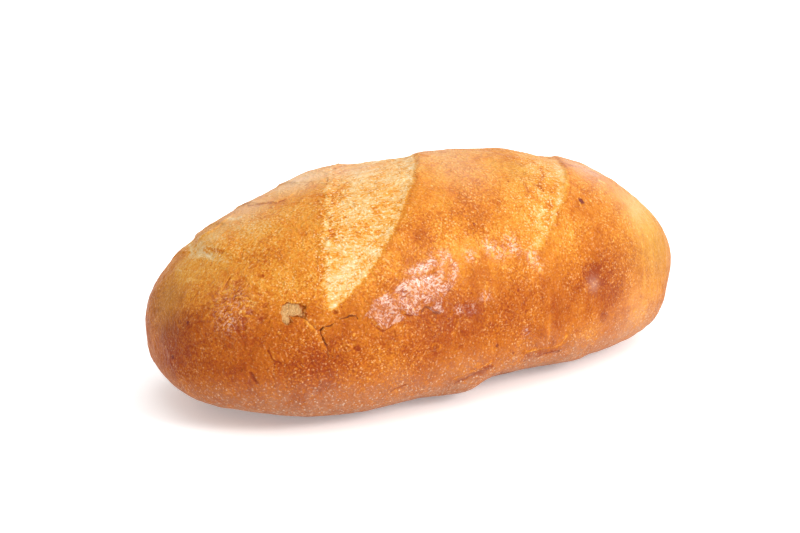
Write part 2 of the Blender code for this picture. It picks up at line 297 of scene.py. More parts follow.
# Thin shiny skin, by its outline as (x, girth in degrees)
SHINY_SKIN = (
    (-74.5, -73.4), (-71.5, -69.8), (-67.9, -66.6), (-63.7, -64.3), (-58.6, -62.9), (-53.3, -61.2),
    (-49.9, -58.5), (-43.8, -55.6), (-38.3, -54.3), (-32.5, -52.8), (-24.8, -53.5), (-21.0, -57.6),
    (-19.2, -61.9), (-21.9, -65.9), (-26.7, -68.2), (-30.5, -71.0), (-34.2, -73.7), (-33.1, -76.1),
    (-36.4, -77.1), (-39.4, -76.0), (-41.2, -74.2), (-42.9, -72.5), (-45.2, -73.7), (-47.5, -75.2),
    (-50.6, -75.1), (-53.7, -73.5), (-56.0, -72.8), (-54.0, -75.0), (-54.7, -76.3), (-58.7, -76.9),
    (-61.8, -77.9), (-64.3, -78.6), (-66.4, -77.2), (-68.3, -74.7), (-71.6, -72.4),
)

# Brighter bands and duller gaps in the shiny skin: points as (x, girth), half the width, and the change
# They also set how much painted highlight the skin's ridges get
SHINE_BANDS = {
    "main_band": (
        ((-52.9, -63.4), (-48.8, -63.0), (-44.8, -62.8), (-41.0, -63.7), (-37.3, -65.3), (-33.9, -66.8)),
        3.2, 0.45,
    ),
    "upper_band": (
        ((-49.7, -59.2), (-45.3, -58.0), (-40.0, -57.3), (-35.4, -56.1), (-35.2, -58.4)),
        2.2, 0.35,
    ),
    "right_band": (((-31.3, -53.7), (-27.7, -55.3), (-24.8, -59.0), (-21.6, -62.6)), 2.3, 0.3),
    "left_spot": (((-63.2, -66.2), (-60.6, -67.4)), 1.5, 0.5),
    "below_main_band": (((-42.6, -68.9), (-40.1, -71.5)), 1.7, 0.25),
    "right_lobe": (((-37.8, -72.9), (-35.5, -74.7)), 1.6, 0.2),
    "left_lobe": (((-69.9, -71.1), (-65.7, -73.3), (-64.4, -76.8)), 2.2, -0.08),
    "gap_between_bands": (((-51.1, -60.5), (-46.2, -60.8), (-41.3, -61.2), (-36.0, -60.8)), 0.8, -0.6),
    "hole": (((-58.7, -65.5), (-55.8, -67.4)), 1.3, -0.8),
    "upper_gap": (((-34.2, -60.0), (-32.9, -57.9), (-33.1, -55.7)), 1.1, -0.7),
    "gap_at_right": (((-32.3, -64.2), (-29.6, -62.0), (-28.0, -58.6)), 1.6, -0.5),
    "low_gap_at_right": (((-34.5, -69.7), (-38.7, -72.0), (-40.9, -72.8)), 1.3, -0.6),
    "gap_between_lobes": (((-44.4, -70.1), (-45.4, -72.2)), 0.9, -0.6),
}

# Noise by what it sways, as (wavelength, seed, height) for each of its waves
WAVES = {
    "skin": ((9.5, 0.3, 0.30), (4.6, 5.4, 0.18), (2.3, 2.9, 0.10)),
    "browning": ((34, 3.9, 0.05), (15, 1.2, 0.05)),
    "torn_border": ((6, 4.1, 1.1), (2.6, 1.7, 0.6), (1.3, 9.2, 0.3)),
    "shiny_skin_edge": ((4.5, 0, 0.9), (1.8, 0, 0.5)),
    "flake_edge": ((2.6, 0, 0.28), (1.2, 0, 0.14)),
    "crack_along_x": ((2.6, 2.4, 0.40), (1.1, 8.3, 0.25)),
    "crack_along_girth": ((2.4, 5.9, 0.40), (1.2, 3.7, 0.25)),
}

# Below this height the relief fades, down to none at the floor
RELIEF_FADES_BELOW = 6

# The front, where the cracks and the lines are, ends at this y
FRONT_ENDS = 30

# Relief of the openings: the lip of the right border and the gutter beside it, the strands, and the torn
# left border with its grain and its pits
OPENING_RELIEF = {
    "lip": 0.35, "gutter": 0.12, "strands": 0.22, "torn_border": 0.55, "torn_grain": 0.45, "torn_pits": 1.3,
}

# Relief of the shiny skin: the sheet, how much thinner it gets above, its folds and its crinkles
SHINY_RELIEF = {"sheet": 0.36, "thinner_above": 0.2, "folds": 0.40, "crinkles": 0.12}

# How many radians the rings of a ripple turn through from its middle to its border
RIPPLE_TURN = 9

# Small blisters all over, as (spacing, radius, height, shift of the pattern). Their sizes run from 0 to 1,
# and those below the smallest one are left out
BLISTERS = ((9, 2.0, 0.35, 0), (4.2, 1.2, 0.22, 40))
SMALLEST_BLISTER = 0.35

# The wrinkled patch on the left side: its middle, its reach along each axis, and the height of the wrinkles
WRINKLED_PATCH = ((-119, -33, 60), (17, 18, 9), 0.45)

# Upright stretch marks at the right end: where they start along X, over what length they grow, their height
STRETCH_MARKS = (88, 16, 0.22)

# Browning of the crust, from 0 for pale dough to 1 for dark brown: on top, and how much more low down
# How much more low down is partly the sides' own browning and partly painted shade, as less light reaches
# the lower half
TOP_BROWNING = 0.50
SIDE_BROWNING_AND_SHADE = 0.26
SIDE_STARTS = 76
SIDE_ENDS = 44

# Further darkening along the bottom, as (height it reaches up to, darkening at the floor)
# It is partly the darker crust of the base and partly a painted contact shadow along the floor
BOTTOM_BROWNING_AND_SHADE = ((9, 0.30), (3, 0.35))

# The band of flour along the bottom: how high it reaches, how much lower that is past FLOUR_END_X, over
# what height it fades, and the share of it that is left at the floor, where the loaf curves in
FLOUR_TOP = 35
FLOUR_TOP_LESS = 3
FLOUR_END_X = -122
FLOUR_FADE = 28
# Less flour at the floor lets the painted contact shadow show
FLOUR_AT_FLOOR = 0.15
CURVES_IN_BELOW = 9

# Changes of the browning: the place, the radius, and the change
BROWNING = {
    "left_end": ((-141, -8, 40), 15, 0.17),
    "left_shoulder": ((-124, -4, 67), 16, -0.05),
    "left_of_tip": ((-101, -44, 70), 14, -0.03),
    "low_left_front": ((-96, -61, 32), 14, 0.06),
    "beside_big_opening": ((-46, -56, 78), 12, 0.07),
    "low_middle": ((-62, -68, 34), 18, -0.09),
    "under_shiny_skin": ((-38, -69, 44), 12, 0.09),
    "low_in_the_middle": ((-21, -69, 36), 12, 0.06),
    "red_blotch_on_top": ((-2, -48, 88), 11, 0.14),
    "crest": ((0, -8, 104), 26, -0.06),
    "top_left": ((-95, -2, 84), 20, -0.13),
    "left_of_big_opening": ((-62, 10, 97), 14, -0.28),
    "left_wrinkles": ((-117, -38, 58), 12, 0.09),
    "middle": ((-16, -44, 93), 12, 0.04),
    "left_of_second_opening": ((16, -50, 86), 9, -0.06),
    "right_slope": ((63, -55, 68), 17, 0.15),
    "right_pale_end": ((103, -42, 68), 15, -0.14),
    "right_end": ((112, -36, 50), 20, -0.15),
    "right_end_low": ((88, -58, 26), 22, -0.16),
    "right_low_front": ((50, -64, 22), 14, -0.10),
    "right_of_opening": ((-36, -52, 84), 8, 0.16),
    "right_of_shiny_skin": ((-13, -63, 64), 7, 0.16),
    "below_right_of_shiny_skin": ((-20, -67, 52), 7, 0.10),
    "under_red_hollow": ((66, -62, 41), 9, 0.18),
    "right_of_red_hollow": ((75, -57, 58), 9, 0.06),
    "burnt_left": ((-130, -26, 43), 14, 0.08),
    "under_tip": ((-81, -64, 40), 9, 0.05),
    "above_left_wrinkles": ((-130, -17, 60), 7, -0.13),
    "below_left_fold": ((-124, 6, 68), 9, -0.08),
    "above_left_fold": ((-110, 4, 80), 9, -0.12),
    "low_centre": ((-32, -69, 28), 8, -0.08),
    "low_right_of_centre": ((8, -67, 25), 9, -0.06),
    "right_of_second_opening": ((48, -55, 73), 6, -0.09),
    "beside_flake": ((-98, -57, 46), 12, 0.06),
    "low_front_left": ((-98, -60, 22), 10, 0.06),
    "dark_left_end": ((-137, -16, 45), 9, 0.08),
    "low_in_front": ((-47, -68, 21), 8, 0.07),
    "middle_of_front": ((-4, -69, 42), 8, 0.06),
    "right_of_front": ((22, -67, 38), 8, -0.08),
    "under_right_slope": ((34, -66, 45), 7, -0.04),
    "low_on_right": ((60, -62, 22), 8, -0.06),
    "low_right_end": ((100, -50, 36), 9, -0.06),
    "top_of_middle": ((-12, -22, 103), 9, -0.04),
    "pale_left_fold": ((-113, 8, 78), 7, -0.05),
    "upper_left": ((-78, 11, 93), 9, -0.06),
    "back_of_crest": ((-40, 34, 90), 30, 0.08),
    "back_right": ((60, 50, 60), 34, 0.08),
    "back_left": ((-80, 52, 50), 28, -0.08),
}

# How the browning changes inside the openings: at the left border, in the middle, and at the right border.
# The stops are where these are across the opening. The middle runs from the second to the third
TONE_STOPS = (0.0, 0.35, 0.8, 1.0)
OPENING_TONES = {
    "left": (-0.06, -0.12, -0.18),
    "big": (0.0, -0.21, -0.31),
    "second": (-0.02, -0.06, -0.15),
}

# Paler or darker places inside the openings: the place, the radius, and the change
OPENING_PATCHES = {
    "tip_of_big_opening": ((-82, -57, 65), 8, -0.16),
    "low_in_big_opening": ((-74, -51, 76), 9, -0.03),
    "orange_in_big_opening": ((-66, -42, 85), 8, 0.07),
    "streaked_part": ((-62, -24, 96), 12, 0.01),
    "top_of_big_opening": ((-50, -6, 100), 14, 0.03),
    "pale_edge_of_second": ((46, -30, 96), 9, -0.10),
    "crest_of_second_opening": ((58, -24, 95), 8, -0.08),
    "hollow_in_second_opening": ((40, -38, 93), 5, 0.12),
    "crumbs_at_second_tip": ((24, -58, 73), 7, -0.14),
}

# Flecks of crinkled shine: the place, the radius, and how strong it is
# These flecks also get the painted highlight on the ridges of their crinkles
BROKEN_SHINE = {
    "bright_fleck": ((-3.9, -58.6, 74.1), 3.8, 0.75),
    "second_fleck": ((8.1, -58.2, 75), 4.2, 0.55),
    "third_fleck": ((9.5, -60.3, 70.6), 4.0, 0.5),
    "low_fleck": ((0.7, -60.8, 69.7), 4.0, 0.5),
    "fleck_beside_shiny_skin": ((-15.3, -60, 72.1), 3.5, 0.6),
    "upright_streaks": ((-10.8, -66.6, 53.8), 3.2, 0.6),
    "second_upright_streaks": ((-19.2, -67.6, 48.9), 3.2, 0.45),
    "pale_chip": ((-26.0, -67.2, 50.3), 2.2, 0.7),
    "fleck_at_second_tip": ((18.5, -61.5, 66.8), 4.0, 0.6),
    "lobe_at_second_tip": ((21.5, -63.4, 62), 4.0, 0.5),
    "below_red_hollow": ((54.4, -63.0, 47.4), 3.4, 0.34),
    "low_glint": ((11.3, -67.7, 32.9), 2.2, 0.8),
    "wrinkled_left_side": ((-119, -32, 59), 13, 0.40),
    "left_blister": ((-125, -36, 53), 5, 0.3),
    "middle_top": ((-8, -30, 99), 22, 0.15),
    "right_lip": ((82, -20, 91), 14, 0.5),
    "around_shiny_skin": ((-40, -62, 62), 26, 0.2),
}

# Where pale wrinkles show: how strong they are everywhere, and the place, the radius, and how much stronger
WRINKLED_EVERYWHERE = 0.25
WRINKLED = {
    "left_side": ((-119, -33, 58), 15, 0.9),
    "above_left_side": ((-124, -10, 66), 10, 0.2),
    "left_end": ((-138, -14, 45), 12, 0.4),
}

# Where painted sheen is laid on, pale and dull, mostly on the rims and the top: the place, the radius, and
# how much
PAINTED_SHEEN = {
    "right_lip": ((80, -20, 91), 15, 0.32),
    "left_ridge": ((-62, 12, 99), 14, 0.50),
    "upper_left": ((-90, 12, 89), 14, 0.38),
    "top_middle": ((8, -4, 105), 20, 0.20),
    "crest_of_big_opening": ((-38, 4, 103), 14, 0.30),
    "right_low_end": ((84, -56, 26), 16, 0.10),
    "right_shoulder": ((98, -36, 76), 13, 0.20),
    "below_red_hollow": ((54.4, -63.0, 47.4), 3.6, 0.20),
    "middle_of_top": ((2, -28, 101), 14, 0.12),
}

# Where the ends are a duller tan: the place, the radius, and how much
TANNED = {
    "right_end": ((108, -40, 56), 26, 0.40),
    "left_end": ((-138, 4, 58), 16, 0.30),
    "left_crest": ((-112, 14, 80), 14, 0.10),
    "by_second_opening": ((34, -30, 97), 11, 0.25),
}

# Dark purple-brown spots: the place, the radius, and how dark
SPOTS = {
    # Painted shade of a small hole that the mesh does not cut
    "shaded_hole_on_right": ((59.3, -45.4, 83.5), 2.1, 0.95),
    "left_speck": ((-135.1, -18.8, 50), 1.1, 0.85),
    "low_left_speck": ((-139.9, -12.1, 33.2), 1.1, 0.85),
    "upper_left_speck": ((-130.7, -6.3, 60), 0.6, 0.6),
    "low_red_speck": ((-5.6, -68.5, 29.6), 1.1, 0.75),
    "second_low_red_speck": ((4.3, -67.5, 23.9), 0.9, 0.6),
}

# Red-brown spots: the place, the radius, and how much more browned
RED_SPOTS = {
    "middle_red_speck": ((-77.4, -64.8, 41.3), 1.7, 0.30),
    "red_dot": ((7.2, -66.4, 53.5), 0.9, 0.30),
    "red_hollow": ((52.2, -62.0, 51.4), 3.8, 0.20),
    "red_hollow_upper": ((56.2, -61.2, 52.4), 3.8, 0.20),
    "orange_patch": ((61.6, -62.9, 29.7), 3.6, 0.14),
    "brown_dot": ((-107.6, -36.5, 71.4), 1.2, 0.25),
    "second_brown_dot": ((-104, -32.5, 76.5), 1.2, 0.22),
}

# How far the edges of the spots wobble
SPOT_WOBBLE = 1.6

# The finish of the crust that is the same all over: a thin glossy coat over a nearly matt body
CRUST_FINISH = {
    "Coat IOR": 1.6,
    "IOR": 1.45,
    "Specular IOR Level": 0.06,
    "Sheen Weight": 0.05,
    "Sheen Roughness": 0.20,
}

# The finish of the floor
FLOOR_FINISH = {"Roughness": 0.7, "Specular IOR Level": 0.1}

# Soft lights: the direction from the loaf to the light, its strength, and how wide it looks in degrees
SOFT_LIGHTS = {
    "key_light": ((0.38, -0.77, 0.50), 1.5, 18),
    "overhead_light": ((0.38, -0.35, 0.85), 1.8, 90),
}

# The white room is brighter in this direction, and darker the other way, where the photographer stands
BRIGHT_SIDE = (0.22, 0.05, 0.0)

# The camera: its angles in degrees as seen from the loaf, its distance and target in metres, and its lens
# and sensor in millimetres
CAMERA_AZIMUTH = -32.46
CAMERA_ELEVATION = 16.84
CAMERA_DISTANCE = 0.7722
CAMERA_LENS = 70
CAMERA_SENSOR = 36
CAMERA_TARGET = (-0.003305, 0.01721, 0.045)


def smooth_step(value):
    """0 below 0, 1 above 1 and a smooth rise between them."""
    value = np.clip(value, 0, 1)
    return value * value * (3 - 2 * value)


def noise_at(points, size, seed=0.0):
    """Smooth noise from about -1 to 1, with the given wavelength. Each seed gives another pattern."""
    return np.array([noise.noise(place) for place in (points / size + seed).tolist()])


def waves(points, name):
    """The sum of the waves of that name."""
    return sum(tall * noise_at(points, size, seed) for size, seed, tall in WAVES[name])


def girth_of(points):
    """How far round the loaf each point lies, in degrees from the crest, negative on the front."""
    return np.degrees(np.arctan2(points[:, 1], points[:, 2] - WAIST))


def on_skin(points):
    """The points unrolled onto a flat sheet: x, and the girth as a length."""
    return np.stack([points[:, 0], girth_of(points) * GIRTH_STEP], 1)


def opening_frame(points, opening):
    """How far each point is inside the opening's left and right borders, and its share of the way along."""
    tip_x, tip_girth = opening["front"]
    end_x, end_girth = opening["back"]
    run = np.array([end_x - tip_x, (end_girth - tip_girth) * GIRTH_STEP])
    here = on_skin(points) - np.array([tip_x, tip_girth * GIRTH_STEP])
    length = np.linalg.norm(run)
    share = 2 * here @ run / length**2 - 1
    taper = np.clip(1 - share * share, 0, 1)
    across = (here[:, 0] * run[1] - here[:, 1] * run[0]) / length
    across -= (opening["bow"] + opening["sway"] * share) * taper
    edge = opening["half_width"] * taper ** opening["bluntness"] * (1 + 0.1 * noise_at(points, 9))
    beyond_tip = np.clip(np.abs(share) - 1, 0, None) * length / 2
    return edge + across - beyond_tip, edge - across - beyond_tip, share


def distance_to_path(points, path):
    """The distance from each point to the nearest stretch of a path."""
    return beside_path(points, path)[0]


def beside_path(points, path):
    """The distance to a path, the same with a minus sign to its right, and the share of the way along."""
    path = np.array(path, float)
    lengths = np.linalg.norm(np.diff(path, axis=0), axis=1)
    nearest = np.full(len(points), 1e9)
    signed = np.full(len(points), 1e9)
    along = np.zeros(len(points))
    for index, (start, end) in enumerate(zip(path, path[1:])):
        run = end - start
        offset = points - start
        share = np.clip(offset @ run / (run @ run), 0, 1)
        gap = np.linalg.norm(offset - share[:, None] * run, axis=1)
        closer = gap < nearest
        nearest[closer] = gap[closer]
        side = np.sign(run[0] * offset[:, 1] - run[1] * offset[:, 0])
        signed[closer] = (gap * side)[closer]
        along[closer] = ((lengths[:index].sum() + share * lengths[index]) / lengths.sum())[closer]
    return nearest, signed, along


def unrolled(path):
    """Points given as (x, girth in degrees), on the flat sheet of on_skin."""
    return [(x, girth * GIRTH_STEP) for x, girth in path]


def inside_outline(places, outline):
    """How far each flat place lies inside a closed outline, negative outside."""
    outline = np.array(outline, float)
    closed = np.concatenate([outline, outline[:1]])
    inside = np.zeros(len(places), bool)
    for (x0, y0), (x1, y1) in zip(closed, closed[1:]):
        spans = (y0 > places[:, 1]) != (y1 > places[:, 1])
        crossing = x0 + (places[:, 1] - y0) * (x1 - x0) / (y1 - y0 + 1e-12)
        inside ^= spans & (places[:, 0] < crossing)
    gap = distance_to_path(places, closed)
    return np.where(inside, gap, -gap)


def shiny_skin_edge(points):
    """How far inside the thin shiny skin each point lies, with a ragged edge."""
    edge = inside_outline(on_skin(points), unrolled(SHINY_SKIN))
    edge += waves(points, "shiny_skin_edge")
    return np.where(points[:, 1] < 0, edge, -20.0)


def fading_border(points):
    """0 along the crisp lower left border of the shiny skin, 1 above and to the right, where it fades."""
    return np.maximum(smooth_step((girth_of(points) + 71) / 9), smooth_step((points[:, 0] + 38) / 12))


def shiny_cover(points, edge):
    """How much of the shine and of the painted ridge highlight each point has: a crisp border below, and
    one that breaks up above.
    """
    above = fading_border(points)
    breaks = (noise_at(points, 7, 3.6) + 0.7 * noise_at(points, 3, 8.8)) * above
    cover = smooth_step((edge + 3 * breaks) / (0.7 + 4 * above))
    return cover * np.clip(0.55 + 0.25 * noise_at(points, 4, 1.1) + marks(points, SHINE_BANDS), 0.08, 1)


def lost_flake_edge(points):
    """1 in the middle of the pit that the lost flake leaves, 0 on its ragged edge, negative outside."""
    place, half_length, half_height, _ = LOST_FLAKE
    offset = points - np.array(place)
    reach = (np.abs(offset[:, 0] / half_length) ** 4 + np.abs(offset[:, 2] / half_height) ** 4) ** 0.25
    (middle_x, middle_z), (radius_x, radius_z) = FLAKE_TONGUE
    tongue = np.hypot((offset[:, 0] - middle_x) / radius_x, (offset[:, 2] - middle_z) / radius_z)
    reach = np.minimum(reach, tongue)
    reach += waves(points, "flake_edge")
    near = np.linalg.norm(offset, axis=1) < 2.5 * half_length
    return np.where(near, 1 - reach, -3.0)


def opening_relief(points):
    """The crisp lips, torn left borders and stretched strands of the openings."""
    height = np.zeros(len(points))
    stray = waves(points, "torn_border")
    strands = noise_at(points * np.array([0.2, 0.7, 0.7]), 1.3, 3.3)
    fine = noise_at(points, 1.6, 6.1)
    for opening in OPENINGS.values():
        from_left, from_right, share = opening_frame(points, opening)
        fade = np.sqrt(np.clip(1 - share * share, 0, 1))
        beyond = -(from_right + 0.35 * stray)
        lip = smooth_step((beyond + 0.7) / 1.4) * np.exp(-np.clip(beyond, 0, None) / 4)
        gutter = np.exp(-(((beyond + 1.0) / 0.9) ** 2))
        height += fade * (OPENING_RELIEF["lip"] * lip - OPENING_RELIEF["gutter"] * gutter)
        inside = np.minimum(from_left, from_right)
        height += OPENING_RELIEF["strands"] * strands * smooth_step(inside / 3)
        torn = from_left + stray
        band = np.exp(-(((torn - 3.0) / 2.6) ** 2)) * (from_right > 0)
        pits = smooth_step((-noise_at(points, 3.1, 7.7) - 0.20) / 0.25)
        grain = OPENING_RELIEF["torn_border"] + OPENING_RELIEF["torn_grain"] * fine
        height += opening["torn"] * fade * band * (grain - OPENING_RELIEF["torn_pits"] * pits)
    return height


def shiny_skin_relief(points):
    """The raised sheet of shiny skin: puffed folds, and fine crinkles that run two ways."""
    edge = shiny_skin_edge(points)
    above = fading_border(points)
    sheet = smooth_step(edge / (0.9 + 5 * above))
    x, y, z = points.T
    falling = np.stack([x * 0.7 + z * 0.7, y, z * 0.7 - x * 0.7], 1)
    rising = np.stack([x * 0.9 - z * 0.45, y, z * 0.9 + x * 0.45], 1)
    crinkles = noise_at(falling * np.array([1, 0.7, 0.4]), 1.5, 2.2)
    crinkles += noise_at(rising * np.array([0.4, 0.7, 1]), 1.7, 5.2)
    folds = noise_at(rising * np.array([0.5, 0.8, 1]), 6.0, 7.4)
    height = SHINY_RELIEF["sheet"] - SHINY_RELIEF["thinner_above"] * above
    return sheet * (height + SHINY_RELIEF["folds"] * folds + SHINY_RELIEF["crinkles"] * crinkles)


def wrinkled_patch_relief(points):
    """Long shallow wrinkles on the left side, and upright stretch marks at the right end."""
    middle, reach, tall = WRINKLED_PATCH
    gap = np.linalg.norm((points - np.array(middle)) / np.array(reach), axis=1)
    wrinkles = noise_at(points * np.array([0.25, 0.25, 1]), 2.2, 8.1)
    height = tall * wrinkles * np.exp(-gap**2)
    start, run, tall = STRETCH_MARKS
    upright = noise_at(on_skin(points)[:, [0, 1, 1]] * np.array([1, 0.12, 0]), 3.0, 4.9)
    return height + tall * upright * smooth_step((points[:, 0] - start) / run)


def strayed(points):
    """The places on the unrolled skin, moved a little so that the cracks run ragged."""
    flat = on_skin(points)
    flat[:, 0] += waves(points, "crack_along_x")
    flat[:, 1] += waves(points, "crack_along_girth")
    return flat


def crack_relief(points):
    """Cracks, folds and seams."""
    height = np.zeros(len(points))
    flat = strayed(points)
    for path, half_width, depth, _ in CRACKS.values():
        path = unrolled(path)
        near = np.linalg.norm(flat - np.mean(path, 0), axis=1) < 25
        wobble = 0.25 * noise_at(points[near], 1.5, 2.4)
        gap = distance_to_path(flat[near], path) + wobble
        height[near] -= depth * np.exp(-((gap / half_width) ** 2))
    return height


def plate_relief(points):
    """Sheets of crust that overlap: a step up at the edge of each, which sinks back behind it."""
    height = np.zeros(len(points))
    flat = on_skin(points)
    for path, rise, fade in PLATES.values():
        path = unrolled(path)
        near = np.linalg.norm(flat - np.mean(path, 0), axis=1) < 40
        _, signed, along = beside_path(flat[near], path)
        signed += 0.7 * noise_at(points[near], 3.5, 6.3)
        if rise < 0:
            signed = -signed
        step = smooth_step((signed + 0.6) / 1.2) * np.exp(-np.clip(signed, 0, None) / fade)
        height[near] += abs(rise) * step * np.sqrt(np.sin(math.pi * along))
    return height


def ripple_relief(points):
    """Round blisters with ripples round them."""
    height = np.zeros(len(points))
    flat = on_skin(points)
    for (x, girth), half_length, half_height, tall in RIPPLES.values():
        gap = np.hypot((flat[:, 0] - x) / half_length, (flat[:, 1] - girth * GIRTH_STEP) / half_height)
        near = (gap < 2) & (points[:, 1] < 0)
        rings = np.cos(gap[near] * RIPPLE_TURN)
        height[near] += tall * rings * smooth_step((1.15 - gap[near]) / 0.4)
    return height


def blister_relief(points, spacing, reach, tall):
    """Small round blisters of uneven size, one or none in each cell."""
    height = np.zeros(len(points))
    for index, place in enumerate((points / spacing).tolist()):
        distances, centres = noise.voronoi(place)
        size = noise.cell(centres[0] * 7.3)
        if size > SMALLEST_BLISTER:
            gap = distances[0] * spacing / (reach * size)
            height[index] = tall * size * math.exp(-gap * gap)
    return height


def relief(points):
    """How far each point is raised along the normal, in millimetres."""
    above = smooth_step(points[:, 2] / RELIEF_FADES_BELOW)
    height = waves(points, "skin")
    height += opening_relief(points)
    height += shiny_skin_relief(points)
    height += wrinkled_patch_relief(points)
    height += crack_relief(points)
    height += plate_relief(points)
    height += ripple_relief(points)
    for spacing, radius, tall, shift in BLISTERS:
        height += blister_relief(points + shift, spacing, radius, tall)
    _, _, _, depth = LOST_FLAKE
    height -= depth * smooth_step(lost_flake_edge(points) / 0.22 + 0.5)
    return height * above


def crack_fields(points):
    """How near each point is to a crack, 1 on its middle and 0 at the end of its darkness, and how dark its
    painted shade is.
    """
    nearness = np.full(len(points), -4.0)
    darkness = np.zeros(len(points))
    flat = strayed(points)
    widening = 1 + 0.9 * noise_at(points, 2.6, 5.7)
    for path, half_width, _, dark in CRACKS.values():
        gap = distance_to_path(flat, unrolled(path))
        near = 1 - gap / (1.5 * half_width * widening)
        near[points[:, 1] > FRONT_ENDS] = -4
        closer = near > nearness
        nearness[closer] = near[closer]
        darkness[closer] = dark
    return np.maximum(nearness, -4), darkness


def patches(points, table):
    """The sum of round patches that fade out over their radius."""
    level = np.zeros(len(points))
    for place, radius, change in table.values():
        gap = np.linalg.norm(points - np.array(place), axis=1) / radius
        level += change * np.exp(-gap * gap)
    return level


def browning(points):
    """How browned the crust is painted, from 0 for pale dough to 1 for dark brown, painted shade included.
    """
    down = (SIDE_STARTS - points[:, 2]) / (SIDE_STARTS - SIDE_ENDS)
    level = TOP_BROWNING + SIDE_BROWNING_AND_SHADE * smooth_step(down)
    level += waves(points, "browning")
    level += sum(more * smooth_step((reach - points[:, 2]) / reach) for reach, more in BOTTOM_BROWNING_AND_SHADE)
    return level + patches(points, BROWNING) + marks(points, MARKS)


def marks(points, table):
    """The sum of ragged lines that fade out beyond half their width."""
    level = np.zeros(len(points))
    flat = on_skin(points)
    for path, half_width, change in table.values():
        path = unrolled(path)
        near = np.linalg.norm(flat - np.mean(path, 0), axis=1) < 45
        gap = distance_to_path(flat[near], path) + half_width * 0.6 * noise_at(points[near], 2.2, 3.1)
        broken = 0.75 + 0.6 * noise_at(points[near], 3.4, 7.9)
        level[near] += change * broken * np.exp(-((gap / half_width) ** 2))
    return level


def opening_tone(points):
    """How the browning changes where an opening is."""
    tone = np.zeros(len(points))
    stray = waves(points, "torn_border")
    for name, opening in OPENINGS.items():
        from_left, from_right, _ = opening_frame(points, opening)
        at_left, in_middle, at_right = OPENING_TONES[name]
        width = np.clip(from_left + from_right, 0.1, None)
        share = np.clip(from_left / width, 0, 1)
        change = np.interp(share, TONE_STOPS, (at_left, in_middle, in_middle, at_right))
        change *= smooth_step((from_left + 3) / opening["tone_run"])
        torn = np.exp(-(((from_left + stray - 3.5) / 1.7) ** 2))
        uneven = smooth_step(noise_at(points, 5, 2.7) * 2 + 0.9)
        change -= opening["torn_tone"] * torn * uneven
        tone = np.where(np.minimum(from_left, from_right) > -6, change, tone)
    return tone + patches(points, OPENING_PATCHES)


def floury(points):
    """How much flour from the hearth is on the crust: a band along the bottom, higher at the ends."""
    at_end = smooth_step((FLOUR_END_X - points[:, 0]) / 14)
    top = FLOUR_TOP - FLOUR_TOP_LESS * at_end + 4 * noise_at(points, 18, 6.6)
    # less flour at the floor, where the painted contact shadow shows
    off_floor = FLOUR_AT_FLOOR + (1 - FLOUR_AT_FLOOR) * smooth_step(points[:, 2] / CURVES_IN_BELOW)
    flour = smooth_step((top - points[:, 2]) / FLOUR_FADE) * off_floor
    return np.clip(flour + marks(points, BARE_LINES), 0, 1)


def opening_edges(points):
    """For each opening, how far inside its torn outline each point lies."""
    stray = waves(points, "torn_border")
    edges = {}
    for name, opening in OPENINGS.items():
        from_left, from_right, _ = opening_frame(points, opening)
        edges[name] = np.minimum((from_left + stray) / opening["softness"], from_right + 0.5 * stray - 0.9)
    return edges


def points_of(mesh):
    """The mesh's points in millimetres."""
    points = np.empty(len(mesh.vertices) * 3)
    mesh.vertices.foreach_get("co", points)
    return points.reshape(-1, 3) / MM


def normals_of(mesh):
    """The mesh's normals at its points."""
    normals = np.empty(len(mesh.vertices) * 3)
    mesh.vertices.foreach_get("normal", normals)
    return normals.reshape(-1, 3)


def apply_modifier(piece, kind, **settings):
    """Adds a modifier with these settings and applies it."""
    modifier = piece.modifiers.new(kind.lower(), kind)
    for name, value in settings.items():
        setattr(modifier, name, value)
    bpy.ops.object.modifier_apply(modifier=modifier.name)


def copy_of_node(name, new_name):
    """A merged copy of a CAD node, as a piece of its own."""
    bpy.ops.object.select_all(action="DESELECT")
    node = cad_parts[name]
    node.select_set(True)
    bpy.context.view_layer.objects.active = node
    bpy.ops.object.duplicate()
    piece = bpy.context.view_layer.objects.active
    piece.name = new_name
    piece.data.name = new_name
    piece.parent = None
    for key in list(piece.keys()):
        del piece[key]
    bpy.ops.object.mode_set(mode="EDIT")
    bpy.ops.mesh.select_all(action="SELECT")
    bpy.ops.mesh.remove_doubles(threshold=1e-6)
    bpy.ops.object.mode_set(mode="OBJECT")
    return piece


def needs_detail(points):
    """Where the detail is finer than the skin's even grid: cracks, edges, lines, lost flake, shiny skin."""
    fine = np.zeros(len(points), bool)
    flat = on_skin(points)
    front = points[:, 1] < FRONT_ENDS
    for path, half_width, _, _ in CRACKS.values():
        fine |= front & (distance_to_path(flat, unrolled(path)) < 1.5 + half_width)
    for path, _, _ in PLATES.values():
        fine |= distance_to_path(flat, unrolled(path)) < 2.0
    for path, half_width, _ in MARKS.values():
        fine |= front & (distance_to_path(flat, unrolled(path)) < 0.8 + half_width)
    fine |= lost_flake_edge(points) > -0.7
    fine |= shiny_skin_edge(points) > -1.5
    return fine


def refine(piece, cuts):
    """Splits the faces that need detail."""
    mesh = piece.data
    centres = np.empty(len(mesh.polygons) * 3)
    mesh.polygons.foreach_get("center", centres)
    fine = needs_detail(centres.reshape(-1, 3) / MM)
    bpy.ops.object.mode_set(mode="EDIT")
    bpy.ops.mesh.select_mode(type="FACE")
    bpy.ops.mesh.select_all(action="DESELECT")
    bpy.ops.object.mode_set(mode="OBJECT")
    mesh.polygons.foreach_set("select", fine)
    bpy.ops.object.mode_set(mode="EDIT")
    bpy.ops.mesh.subdivide(number_cuts=cuts)
    bpy.ops.object.mode_set(mode="OBJECT")


